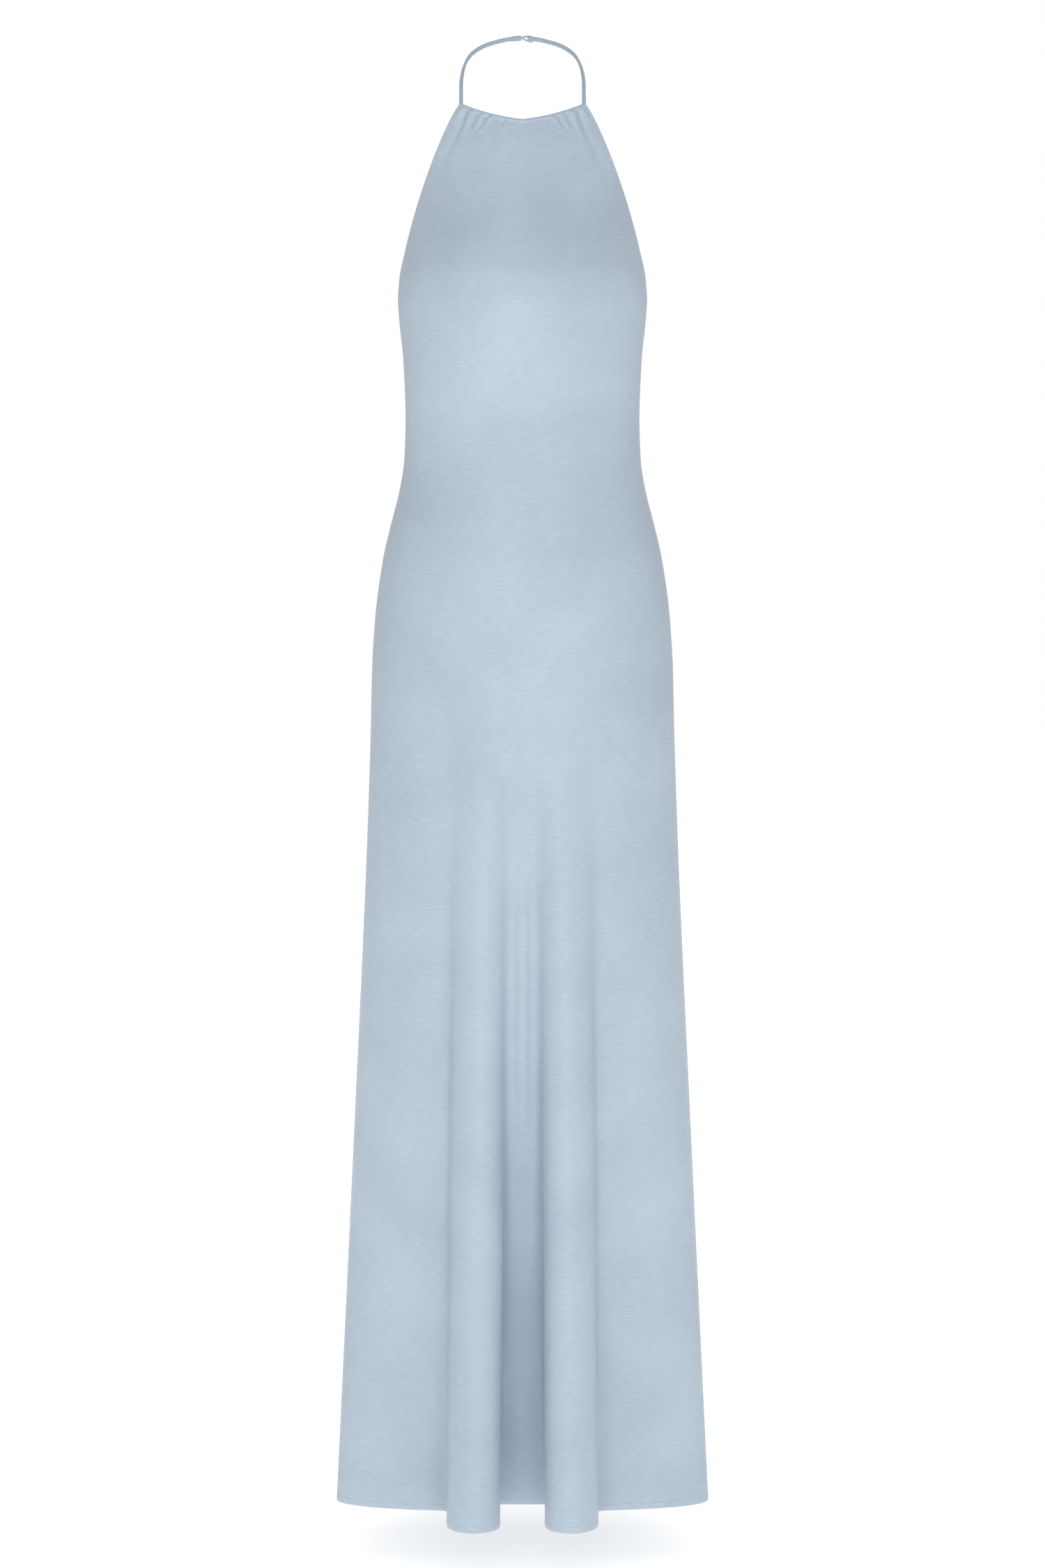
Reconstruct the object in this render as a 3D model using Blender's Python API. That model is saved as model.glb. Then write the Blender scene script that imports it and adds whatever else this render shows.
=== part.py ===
"""Floor-length halter dress in satin, filled out as if worn, with nobody in it.

Units are metres, +Z is up, the front of the dress faces -Y and the wearer's left is +X.
The origin is the inner face of the strap at the nape, which is where the neck holds the dress.
Run with: blender --background --python part.py
"""
import bpy
import numpy as np

# Driving sizes
WALL = 0.0015             # thickness of the cloth wall
SEAM_GAP = 0.0003         # space between pieces that are sewn to each other
MID_Y = -0.065            # plane through both side seams at the underarm, seen from the nape
UNDERARM_Z = -0.259        # top of the side seams
NECK_CORNER_Z = -0.0775   # top edge of the front panel below the strap
NECK_DIP = 0.0168         # how much lower the same edge is at the centre
NECK_DIP_POWER = 1.35     # 2 would be a parabola, less makes the middle rounder
NECK_DIP_END_Z = -0.257    # the rows of the mesh are level again from here down
BACK_SCOOP = 0.168        # drop of the open back from the side seams to the centre
BACK_SCOOP_POWER = 2.2
BACK_SCOOP_END_Z = -0.757
EVEN_ABOVE_Z = -0.437     # above this the columns of a panel are evenly spread
FOLDED_BELOW_Z = -0.687    # below this they follow the folds

CASING_HEIGHT = 0.0052
CASING_THICKNESS = 0.0036
CASING_STEPS = 30
CASING_END_SHARE = 0.8    # the binding is this share of its height where it ends

STRAP_WIDTH = 0.0042
STRAP_THICKNESS = 0.0028
STRAP_STEPS = 22
STRAP_PROBES = 1001       # points along the strap when a place on it is looked up
STRAP_SIDES = 8
TAB_STEPS = 4
TAB_BLEND = 0.0010        # length over which a strap thickens into its doubled end

# The doubled ends, or tabs, as distances from the centre, with their width and thickness
LEFT_TAB_FROM_X = 0.0168
LEFT_TAB_TO_X = 0.0052
LEFT_TAB_SIZE = (0.0047, 0.0032)
RIGHT_TAB_FROM_X = 0.0108
RIGHT_TAB_TO_X = 0.0010
RIGHT_TAB_SIZE = (0.0054, 0.0034)

BUTTON_X = 0.0082         # the button stands on the tab of the left strap
BUTTON_RADIUS = 0.0033
BUTTON_STEPS = 8
BUTTON_SIDES = 14
SHANK_RADIUS = 0.0011
SHANK_LENGTH = 0.0026
LOOP_CORD = 0.0017        # diameter of the cord of the loop
LOOP_FOOT_SPREAD = 0.0030  # cord centre to cord centre where the loop leaves the right strap
LOOP_EYE_SPREAD = 0.0051
LOOP_EYE_PAST_BUTTON = 0.0026
LOOP_ROUNDNESS = 0.7      # power on the sine: 1 is an ellipse, less has straighter sides
LOOP_STEPS = 28
LOOP_SIDES = 7

# One row for each level of the body. Columns: height, half width, side seam forward of the mid
# plane, front depth and back depth from the mid plane, and how far round the front turns in degrees
SECTIONS = (
    (-0.0670, 0.0581, 0.0490, 0.0590, 0.0800, 48.0),
    (-0.0875, 0.0706, 0.0475, 0.0630, 0.0820, 50.0),
    (-0.1078, 0.0804, 0.0450, 0.0690, 0.0850, 53.0),
    (-0.1349, 0.0917, 0.0390, 0.0765, 0.0880, 58.0),
    (-0.1622, 0.1016, 0.0330, 0.0850, 0.0900, 64.0),
    (-0.1896, 0.1103, 0.0250, 0.0950, 0.0930, 72.0),
    (-0.2170, 0.1176, 0.0160, 0.1040, 0.0950, 80.0),
    (-0.2447, 0.1236, 0.0070, 0.1095, 0.0955, 87.0),
    (-0.2655, 0.1253, 0.0000, 0.1100, 0.0950, 90.0),
    (-0.2865, 0.1240, 0.0000, 0.1075, 0.0925, 90.0),
    (-0.3285, 0.1199, 0.0000, 0.0990, 0.0865, 90.0),
    (-0.3847, 0.1180, 0.0000, 0.0880, 0.0785, 90.0),
    (-0.4269, 0.1195, 0.0000, 0.0890, 0.0765, 90.0),
    (-0.4552, 0.1239, 0.0000, 0.0920, 0.0800, 90.0),
    (-0.4976, 0.1346, 0.0000, 0.0970, 0.0880, 90.0),
    (-0.5259, 0.1411, 0.0000, 0.0995, 0.0950, 90.0),
    (-0.5827, 0.1492, 0.0000, 0.1020, 0.1070, 90.0),
    (-0.6397, 0.1530, 0.0000, 0.1025, 0.1130, 90.0),
    (-0.7039, 0.1546, 0.0010, 0.1015, 0.1150, 90.0),
    (-0.8113, 0.1585, 0.0040, 0.0985, 0.1150, 90.0),
    (-1.1002, 0.1725, 0.0100, 0.0840, 0.1150, 90.0),
    (-1.3927, 0.1873, 0.0170, 0.0705, 0.1150, 90.0),
    (-1.5028, 0.1929, 0.0200, 0.0670, 0.1150, 90.0),
)
# Power on the depth round a full half level: 1 is an ellipse, less is squarer. The fronts of the
# levels above the bust, which turn less than SHORT_TURN, have 1
FULLNESS = 0.75
SHORT_TURN = np.radians(60.0)
FULL_TURN = np.radians(90.0)

# The pair of deep folds in each panel of the skirt. They hang from the hip and grow like cones
FRONT_FOLD = {
    "side": -1.0, "start_z": -0.687, "crest_x": (0.0425, 0.0500), "half_width": (0.0240, 0.0268),
    "root": (0.0110, 0.0095), "turn": 96.0, "depth": 0.0768, "growth": 1.10,
    "recess": 0.0250, "recess_z": -0.977, "recess_growth": 1.2}
BACK_FOLD = {
    "side": 1.0, "start_z": -0.797, "crest_x": (0.0540, 0.0640), "half_width": (0.0280, 0.0310),
    "root": (0.0180, 0.0150), "turn": 84.0, "depth": 0.0480, "growth": 1.20,
    "recess": 0.0100, "recess_z": -0.997, "recess_growth": 1.2}

# Where a fold is still too low to have a straight wall, its wall columns take this share of the
# arc at its crest. A level stretch counts as a fold that turns by the smallest angle
WALL_SHARE_OF_CREST = 0.3
SMALLEST_TURN = 1e-4

# Shallow ridges that run down the middle of the front skirt between the deep folds.
# Columns: distance from the centre, width, height, upper end, lower end
RIDGES = (
    (0.0000, 0.0075, 0.0040, -0.757, -1.187),
    (0.0188, 0.0035, 0.0016, -1.017, -1.417),
)

# Gathers that run out from the neck casing, on both sides alike.
# Columns: place along the casing as a share of its half, how far it leans outward for each metre
# down, length, width, height above the cloth (below it when negative)
GATHERS = (
    (0.975, 1.20, 0.012, 0.0030, 0.0012),
    (0.905, 0.36, 0.100, 0.0042, -0.0016),
    (0.845, 0.34, 0.085, 0.0045, 0.0014),
    (0.765, 0.34, 0.030, 0.0030, -0.0011),
    (0.700, 0.42, 0.034, 0.0032, 0.0012),
    (0.610, 0.75, 0.026, 0.0030, -0.0010),
    (0.540, 0.72, 0.030, 0.0034, 0.0012),
    (0.400, 0.50, 0.016, 0.0030, 0.0007),
    (0.280, 0.35, 0.014, 0.0030, 0.0007),
    (0.120, 0.10, 0.018, 0.0030, 0.0006),
)
GATHER_HOLD = 0.15        # share of its length over which a gather keeps its full height
GATHER_SPREAD = 0.5       # how much wider it is at its lower end, as a share

# Levels of the rows at the side seam
FRONT_ROWS = (
    NECK_CORNER_Z, -0.082, -0.087, -0.093, -0.100, -0.109, -0.121, -0.137, -0.157,
    -0.177, -0.197, -0.217, -0.237, UNDERARM_Z, -0.282, -0.312, -0.347, -0.3847, -0.422,
    -0.457, -0.497, -0.542, -0.592, -0.642, -0.687, -0.732, -0.782, -0.837, -0.897,
    -0.967, -1.042, -1.122, -1.207, -1.297, -1.397, -1.5028)
BACK_ROWS = (
    UNDERARM_Z, -0.272, -0.292, -0.317, -0.347, -0.3847, -0.422, -0.457, -0.497, -0.542,
    -0.592, -0.642, -0.687, -0.742, -0.797, -0.857, -0.927, -1.007, -1.097, -1.197,
    -1.297, -1.397, -1.5028)

# Columns of half a panel, from the centre to the side seam, as steps in each stretch:
# middle, fold's inner root, inner wall, inner crest, outer crest, outer wall, outer root, side
FRONT_STEPS = (2, 2, 2, 3, 3, 2, 2, 8)
BACK_STEPS = (2, 1, 1, 2, 2, 1, 1, 7)

# Half of the neck strap, from the casing to the nape, for the wearer's left.
# Columns: x, forward of the mid plane, z, turn of the face from forward (0) to backward (180)
STRAP_PATH = (
    (0.0612, 0.0455, -0.0760, 28.0),
    (0.0611, 0.0449, -0.0712, 27.0),
    (0.0611, 0.0390, -0.0664, 26.0),
    (0.0613, 0.0185, -0.0514, 28.0),
    (0.0595, -0.0030, -0.0362, 42.0),
    (0.0570, -0.0135, -0.0285, 62.0),
    (0.0528, -0.0245, -0.0208, 92.0),
    (0.0441, -0.0385, -0.0129, 130.0),
    (0.0368, -0.0465, -0.0088, 146.0),
    (0.0255, -0.0555, -0.0047, 162.0),
    (0.0156, -0.0612, -0.0021, 171.0),
    (0.0000, -0.0664, 0.0000, 180.0),
)

# Material colours are sRGB, with roughness
SATIN = ("satin", (0.675, 0.735, 0.795), 0.42)
SATIN_BACK = ("satin_back", (0.655, 0.720, 0.780), 0.50)
COVERED = ("covered_button_satin", (0.640, 0.705, 0.770), 0.45)

SHARP_EDGE = np.radians(50.0)   # edges that turn more than this are shaded sharp
PROBE = 1e-4                    # step on each side of a point when its slope is taken


def smooth_columns(table, z):
    """Read every column of a table at the heights z, on a monotone cubic through its rows."""
    rows = np.array(table)[::-1]
    knots = rows[:, 0]
    values = rows[:, 1:]
    span = np.diff(knots)[:, None]
    slope = np.diff(values, axis=0) / span
    before, after = slope[:-1], slope[1:]
    same_way = before * after > 0.0
    total = np.where(same_way, before + after, 1.0)
    inner = np.where(same_way, 2.0 * before * after / total, 0.0)
    tangent = np.vstack((slope[:1], inner, slope[-1:]))
    z = np.clip(z, knots[0], knots[-1])
    place = np.clip(np.searchsorted(knots, z, side="right") - 1, 0, len(knots) - 2)
    gap = span[place, 0]
    t = ((z - knots[place]) / gap)[..., None]
    gap = gap[..., None]
    return ((2 * t**3 - 3 * t**2 + 1) * values[place]
            + (t**3 - 2 * t**2 + t) * gap * tangent[place]
            + (3 * t**2 - 2 * t**3) * values[place + 1]
            + (t**3 - t**2) * gap * tangent[place + 1])


def ease(start, end, value):
    """0 at start, 1 at end, with a level run in and out."""
    t = np.clip((value - start) / (end - start), 0.0, 1.0)
    return t * t * (3.0 - 2.0 * t)


def signed_power(value, power):
    return np.sign(value) * np.abs(value) ** power


def level(z, side):
    """Half width, seam y, depth and turn of one panel at the heights z, from the mid plane."""
    columns = smooth_columns(SECTIONS, z)
    half_width, seam = columns[..., 0], -columns[..., 1]
    if side < 0:
        return half_width, seam, -columns[..., 2], np.radians(columns[..., 4])
    return half_width, seam, columns[..., 3], np.full_like(seam, 0.5 * np.pi)


def ring(angle, z, side):
    """Plain outline of a panel: x is the sine of the angle, and the depth a power of its cosine."""
    half_width, seam, depth, turn = level(z, side)
    rest = np.cos(turn)
    power = 1.0 - (1.0 - FULLNESS) * ease(SHORT_TURN, FULL_TURN, turn)
    share = signed_power((np.cos(angle) - rest) / (1.0 - rest), power)
    return half_width * np.sin(angle) / np.sin(turn), seam + (depth - seam) * share


def half_fold(place, height, half_width, root, turn):
    """One side of a fold, from its root (place 0) to its crest (place 3).

    The cloth turns through an angle on a small arc, runs straight, and turns back on a wide arc.
    A low fold has a small angle and no straight; the angle nears its limit as the fold deepens.
    """
    limit = np.tan(np.radians(turn) / 2.0)
    reach = half_width + root
    angle = 2.0 * np.arctan(limit * np.tanh(height / (reach * limit)))
    angle = np.maximum(angle, SMALLEST_TURN)
    sine, cosine = np.sin(angle), np.cos(angle)
    straight = np.maximum(height - reach * np.tan(angle / 2.0), 0.0) / sine
    small, wide = root / sine, half_width / sine
    first = small * angle
    last = wide * angle
    second = straight + WALL_SHARE_OF_CREST * last * np.exp(-straight / half_width)
    third = straight + last - second
    run = (first * np.clip(place, 0.0, 1.0) + second * np.clip(place - 1.0, 0.0, 1.0)
           + third * np.clip(place - 2.0, 0.0, 1.0))
    at_root = np.minimum(run / small, angle)
    on_wall = np.clip(run - first, 0.0, straight)
    at_crest = angle - np.clip(run - first - straight, 0.0, last) / wide
    along = small * np.sin(at_root) + on_wall * cosine + wide * (sine - np.sin(at_crest))
    out = (small * (1.0 - np.cos(at_root)) + on_wall * sine
           + wide * (np.cos(at_crest) - cosine))
    return along, out


def even_share(column, steps):
    """Share of the half panel at a column when all its steps are as wide as each other."""
    total = np.concatenate(([0.0], np.cumsum(steps)))
    return np.interp(column, np.arange(len(steps) + 1), total / total[-1])


def panel_point(column, z, fold, steps):
    """Middle of the cloth for x >= 0: column runs from 0 at the centre to 8 at the side seam."""
    hem_z = SECTIONS[-1][0]
    side = fold["side"]
    half_width, _, _, turn = level(z, side)
    down = np.clip((fold["start_z"] - z) / (fold["start_z"] - hem_z), 0.0, 1.0)
    low = np.clip((fold["recess_z"] - z) / (fold["recess_z"] - hem_z), 0.0, 1.0)
    height = fold["depth"] * down ** fold["growth"]
    recess = fold["recess"] * low ** fold["recess_growth"]
    crest_x = fold["crest_x"][0] + (fold["crest_x"][1] - fold["crest_x"][0]) * down
    crest = fold["half_width"][0] + (fold["half_width"][1] - fold["half_width"][0]) * down
    root = fold["root"][0] + (fold["root"][1] - fold["root"][0]) * down

    inner_along, inner_out = half_fold(column - 1.0, height + recess, crest, root, fold["turn"])
    outer_along, outer_out = half_fold(7.0 - column, height, crest, root, fold["turn"])
    inner_reach = half_fold(3.0 + 0.0 * column, height + recess, crest, root, fold["turn"])[0]
    outer_reach = half_fold(3.0 + 0.0 * column, height, crest, root, fold["turn"])[0]
    inner_x = crest_x - inner_reach
    outer_x = crest_x + outer_reach

    outer_angle = np.arcsin(np.clip(outer_x / half_width * np.sin(turn), -1.0, 1.0))
    side_angle = outer_angle + (turn - outer_angle) * (column - 7.0)
    x = np.where(column <= 1.0, inner_x * column, inner_x + inner_along)
    x = np.where(column > 4.0, outer_x - outer_along, x)
    fold_angle = np.arcsin(np.clip(x / half_width * np.sin(turn), -1.0, 1.0))
    fold_angle = np.where(column >= 7.0, side_angle, fold_angle)
    even_angle = even_share(column, steps) * turn
    beyond = np.maximum(column - 8.0, 0.0)
    even_angle = even_angle + turn * beyond * steps[-1] / sum(steps)
    angle = even_angle + (fold_angle - even_angle) * ease(EVEN_ABOVE_Z, FOLDED_BELOW_Z, z)
    x, y = ring(angle, z, side)

    out = np.where(column <= 4.0, inner_out - recess, outer_out)
    out = np.where(column <= 1.0, -recess, out)
    out = np.where(column >= 7.0, 0.0, out)
    if side < 0:
        for centre, width, rise, top, bottom in RIDGES:
            run = np.sin(np.pi * np.clip((top - z) / (top - bottom), 0.0, 1.0)) ** 2
            out = out + rise * run * np.exp(-((x - centre) / width) ** 2)
    return x, y + side * out


def gather_lift(x, z):
    """How far the gathers below the casing raise the cloth at a point of the front."""
    half_width = level(z, -1.0)[0]
    corner_x = level(np.array(NECK_CORNER_Z), -1.0)[0]
    lift = np.zeros_like(x)
    for share, lean, length, width, rise in GATHERS:
        start_x = share * corner_x
        start_z = NECK_CORNER_Z - NECK_DIP * (1.0 - share ** NECK_DIP_POWER)
        run = (start_z - z) / length
        middle = start_x + lean * (start_z - z)
        middle = np.minimum(middle, half_width - 0.5 * width)
        fade = 1.0 - ease(GATHER_HOLD, 1.0, run)
        wide = width * (1.0 + GATHER_SPREAD * np.clip(run, 0.0, 1.0))
        lift = lift + rise * fade * np.exp(-((x - middle) / wide) ** 2)
    return lift


def panel_columns(steps):
    """Column values of a whole panel, from the right side seam through 0 to the left one."""
    half = np.concatenate([np.arange(count) / count + zone for zone, count in enumerate(steps)])
    half = np.append(half, float(len(steps)))
    return np.concatenate((-half[:0:-1], half))


def row_heights(column, rows, drop, power, end_z, turn, steps):
    """Heights of the mesh points: the rows dip in the middle by drop, and level out at end_z."""
    angle = even_share(np.abs(column), steps) * turn
    share = np.minimum(np.sin(angle) / np.sin(turn), 1.0) ** power
    dip = -drop * (1.0 - share)[None, :]
    rows = np.array(rows)[:, None]
    return rows + dip * (1.0 - ease(rows[0, 0], end_z, rows))


def panel_grid(columns, heights, fold, steps, shift):
    """Middle surface and outward directions of a panel on a grid of rows and columns."""
    side = fold["side"]

    def point(column, z):
        x, y = panel_point(np.abs(column), z, fold, steps)
        return np.stack((np.sign(column) * x, y + MID_Y + shift, z), axis=-1)

    columns = np.broadcast_to(columns, heights.shape)
    middle = point(columns, heights)
    sideways = point(columns + PROBE, heights) - point(columns - PROBE, heights)
    downwards = point(columns, heights - PROBE) - point(columns, heights + PROBE)
    outward = side * np.cross(sideways, downwards)
    outward /= np.linalg.norm(outward, axis=-1, keepdims=True)
    if side < 0:
        lift = gather_lift(np.abs(middle[..., 0]), heights)
        middle = middle + outward * lift[..., None]
    return middle, outward


def add_material(entry):
    name, colour, roughness = entry
    material = bpy.data.materials.get(name)
    if material is None:
        material = bpy.data.materials.new(name)
        material.use_nodes = True
        shader = material.node_tree.nodes["Principled BSDF"]
        linear = [((c + 0.055) / 1.055) ** 2.4 for c in colour]
        shader.inputs["Base Color"].default_value = (*linear, 1.0)
        shader.inputs["Roughness"].default_value = roughness
        shader.inputs["Metallic"].default_value = 0.0
    return material


def add_object(name, points, faces, material):
    """Make one smooth-shaded object, turned inside out first if its faces point inwards."""
    points = np.asarray(points).reshape(-1, 3)
    volume = 0.0
    for face in faces:
        corners = points[list(face)]
        for i in range(1, len(face) - 1):
            volume += np.dot(corners[0], np.cross(corners[i], corners[i + 1]))
    if volume < 0.0:
        faces = [tuple(reversed(face)) for face in faces]
    mesh = bpy.data.meshes.new(name)
    mesh.from_pydata(points.tolist(), [], faces)
    mesh.update()
    mesh.shade_smooth()
    mesh.set_sharp_from_angle(angle=SHARP_EDGE)
    mesh.materials.append(add_material(material))
    piece = bpy.data.objects.new(name, mesh)
    bpy.context.scene.collection.objects.link(piece)
    return piece


def add_wall(name, middle, outward, material):
    """Close a grid of points into a wall, with an outer face, an inner face and four rims."""
    rows, columns = middle.shape[:2]
    outer = middle + outward * (0.5 * WALL)
    inner = middle - outward * (0.5 * WALL)
    points = np.concatenate((outer.reshape(-1, 3), inner.reshape(-1, 3)))
    index = np.arange(rows * columns).reshape(rows, columns)
    below = index + rows * columns
    faces = []
    for i in range(rows - 1):
        for j in range(columns - 1):
            faces.append((index[i, j], index[i + 1, j], index[i + 1, j + 1], index[i, j + 1]))
            faces.append((below[i, j], below[i, j + 1], below[i + 1, j + 1], below[i + 1, j]))
    edge = np.concatenate((index[0, :-1], index[:-1, -1], index[-1, :0:-1], index[:0:-1, 0]))
    for a, b in zip(edge, np.roll(edge, -1)):
        faces.append((a, b, b + rows * columns, a + rows * columns))
    faces = [tuple(int(i) for i in face) for face in faces]
    return add_object(name, points, faces, material)


def add_sweep(name, path, across, outward, sizes, sides, material, closed=False):
    """Carry an oval section along a path. sizes gives its width and thickness at each point."""
    turn = 2.0 * np.pi * (np.arange(sides) + 0.5) / sides
    ring_points = (path[:, None, :]
                   + across[:, None, :] * (0.5 * sizes[:, None, :1] * np.cos(turn)[None, :, None])
                   + outward[:, None, :] * (0.5 * sizes[:, None, 1:] * np.sin(turn)[None, :, None]))
    count = len(path)
    faces = []
    for i in range(count if closed else count - 1):
        for k in range(sides):
            a, b = i * sides, (i + 1) % count * sides
            m = (k + 1) % sides
            faces.append((a + k, b + k, b + m, a + m))
    if not closed:
        faces.append(tuple(range(sides)))
        faces.append(tuple(reversed(range((count - 1) * sides, count * sides))))
    return add_object(name, ring_points, faces, material)


def square_frame(path, outward, closed=False):
    """Directions across a band and out of it, both square to the path."""
    if closed:
        along = np.roll(path, -1, axis=0) - np.roll(path, 1, axis=0)
    else:
        along = np.gradient(path, axis=0)
    along /= np.linalg.norm(along, axis=1, keepdims=True)
    outward = outward - along * np.sum(outward * along, axis=1, keepdims=True)
    outward /= np.linalg.norm(outward, axis=1, keepdims=True)
    return np.cross(along, outward), outward


def add_front_panel():
    columns = panel_columns(FRONT_STEPS)
    turn = float(level(np.array(NECK_CORNER_Z), -1.0)[3])
    heights = row_heights(columns, FRONT_ROWS, NECK_DIP, NECK_DIP_POWER, NECK_DIP_END_Z, turn,
                          FRONT_STEPS)
    middle, outward = panel_grid(columns, heights, FRONT_FOLD, FRONT_STEPS, -0.5 * SEAM_GAP)
    add_wall("front_panel", middle, outward, SATIN)


def add_back_panel():
    columns = panel_columns(BACK_STEPS)
    heights = row_heights(columns, BACK_ROWS, BACK_SCOOP, BACK_SCOOP_POWER, BACK_SCOOP_END_Z,
                          0.5 * np.pi, BACK_STEPS)
    middle, outward = panel_grid(columns, heights, BACK_FOLD, BACK_STEPS, 0.5 * SEAM_GAP)
    add_wall("back_panel", middle, outward, SATIN_BACK)


def add_neck_casing():
    """The binding that holds the gathered top of the front panel, from corner to corner."""
    share = np.linspace(-1.0, 1.0, CASING_STEPS + 1)
    turn = float(level(np.array(NECK_CORNER_Z), -1.0)[3])
    rise = (np.abs(np.sin(share * turn)) / np.sin(turn)) ** NECK_DIP_POWER
    edge = NECK_CORNER_Z - NECK_DIP * (1.0 - rise)
    centre = edge + SEAM_GAP + 0.5 * CASING_HEIGHT
    x, y = ring(np.abs(share) * level(centre, -1.0)[3], centre, -1.0)
    path = np.stack((np.sign(share) * x, y + MID_Y, centre), axis=1)
    along = np.gradient(path, axis=0)
    up = np.array((0.0, 0.0, 1.0))[None, :]
    outward = np.cross(along, np.broadcast_to(up, along.shape))
    outward *= np.sign(-outward[:, 1:2])
    across, outward = square_frame(path, outward)
    sizes = np.tile((CASING_HEIGHT, CASING_THICKNESS), (len(path), 1))
    sizes[(0, -1), 0] *= CASING_END_SHARE
    add_sweep("neck_casing", path, across, outward, sizes, 8, SATIN)


def strap_curve(share):
    """Points and face directions of the strap on the wearer's left, from casing to nape."""
    knots = np.linspace(1.0, 0.0, len(STRAP_PATH))
    table = [(knot, *row) for knot, row in zip(knots, reversed(STRAP_PATH))]
    values = smooth_columns(table, share)
    turn = np.radians(values[:, 3])
    points = np.stack((values[:, 0], MID_Y - values[:, 1], values[:, 2]), axis=1)
    facing = np.stack((np.sin(turn), -np.cos(turn), 0.0 * turn), axis=1)
    return points, facing


def strap_share(x):
    """Where along its upper half the strap reaches the distance x from the centre."""
    upper = np.linspace(0.5, 1.0, STRAP_PROBES)
    upper_x = strap_curve(upper)[0][:, 0]
    return np.interp(x, upper_x[::-1], upper[::-1])


def nape_point(x, offset, rise):
    """A point of the closure: offset is out from the middle of the strap, rise is up from it."""
    points, facing = strap_curve(strap_share(np.abs(x)))
    mirror = np.stack((np.where(x < 0.0, -1.0, 1.0), 1.0 + 0.0 * x, 1.0 + 0.0 * x), axis=1)
    outward = facing * mirror
    up = np.array((0.0, 0.0, 1.0))[None, :]
    return points * mirror + outward * offset[:, None] + up * rise[:, None], outward


def add_strap(name, hand, tab_from, tab_to, tab_size):
    """One neck strap with its doubled end: hand is 1 on the wearer's left and -1 on the right."""
    run = np.linspace(0.0, strap_share(tab_from + TAB_BLEND), STRAP_STEPS)
    tab = strap_share(np.linspace(tab_from, tab_to, TAB_STEPS))
    points, facing = strap_curve(np.concatenate((run, tab)))
    mirror = np.array((hand, 1.0, 1.0))
    across, outward = square_frame(points * mirror, facing * mirror)
    sizes = np.array([(STRAP_WIDTH, STRAP_THICKNESS)] * STRAP_STEPS + [tab_size] * TAB_STEPS)
    add_sweep(name, points * mirror, across, outward, sizes, STRAP_SIDES, SATIN)


def add_button_loop():
    """A closed ring of cord that lies beside the end of one strap and round the button's shank."""
    turn = 2.0 * np.pi * np.arange(LOOP_STEPS) / LOOP_STEPS
    low_x = SEAM_GAP + 0.5 * LOOP_CORD - RIGHT_TAB_TO_X
    high_x = BUTTON_X + LOOP_EYE_PAST_BUTTON
    x = 0.5 * (low_x + high_x) - 0.5 * (high_x - low_x) * np.cos(turn)
    spread = LOOP_FOOT_SPREAD + (LOOP_EYE_SPREAD - LOOP_FOOT_SPREAD) * ease(0.0, BUTTON_X, x)
    rise = 0.5 * spread * signed_power(np.sin(turn), LOOP_ROUNDNESS)
    clear_of_tab = 0.5 * LEFT_TAB_SIZE[1] + SEAM_GAP + 0.5 * LOOP_CORD
    offset = clear_of_tab * ease(0.0, LEFT_TAB_TO_X - LOOP_CORD, x)
    path, outward = nape_point(x, offset, rise)
    across, outward = square_frame(path, outward, closed=True)
    sizes = np.full((LOOP_STEPS, 2), LOOP_CORD)
    add_sweep("button_loop", path, across, outward, sizes, LOOP_SIDES, SATIN, closed=True)


def add_button():
    """A ball on a short shank, turned about the line that stands out from the strap's tab."""
    foot = 0.5 * LEFT_TAB_SIZE[1] + SEAM_GAP
    mouth = np.arcsin(SHANK_RADIUS / BUTTON_RADIUS)
    angle = np.linspace(mouth, np.pi, BUTTON_STEPS)
    ball_at = foot + SHANK_LENGTH + BUTTON_RADIUS * np.cos(mouth)
    radius = np.concatenate(((SHANK_RADIUS,), BUTTON_RADIUS * np.sin(angle[:-1])))
    height = np.concatenate(((foot,), ball_at - BUTTON_RADIUS * np.cos(angle[:-1])))
    zero = np.zeros(1)
    base, outward = nape_point(zero + BUTTON_X, zero, zero)
    sideways = np.cross(outward[0], (0.0, 0.0, 1.0))
    turn = 2.0 * np.pi * np.arange(BUTTON_SIDES) / BUTTON_SIDES
    circle = (sideways[None, :] * np.cos(turn)[:, None]
              + np.array((0.0, 0.0, 1.0))[None, :] * np.sin(turn)[:, None])
    rings = (base[0] + outward[0] * height[:, None, None] + circle[None] * radius[:, None, None])
    top = base[0] + outward[0] * (ball_at + BUTTON_RADIUS)
    points = np.vstack((rings.reshape(-1, 3), top))
    faces = [tuple(reversed(range(BUTTON_SIDES)))]
    for i in range(len(radius) - 1):
        for k in range(BUTTON_SIDES):
            m = (k + 1) % BUTTON_SIDES
            a, b = i * BUTTON_SIDES, (i + 1) * BUTTON_SIDES
            faces.append((a + k, a + m, b + m, b + k))
    last = (len(radius) - 1) * BUTTON_SIDES
    for k in range(BUTTON_SIDES):
        faces.append((last + k, last + (k + 1) % BUTTON_SIDES, len(points) - 1))
    add_object("button", points, faces, COVERED)


def build():
    for item in list(bpy.data.objects):
        bpy.data.objects.remove(item, do_unlink=True)
    add_front_panel()
    add_back_panel()
    add_neck_casing()
    add_strap("strap_left", 1.0, LEFT_TAB_FROM_X, LEFT_TAB_TO_X, LEFT_TAB_SIZE)
    add_strap("strap_right", -1.0, RIGHT_TAB_FROM_X, RIGHT_TAB_TO_X, RIGHT_TAB_SIZE)
    add_button_loop()
    add_button()


build()
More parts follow.
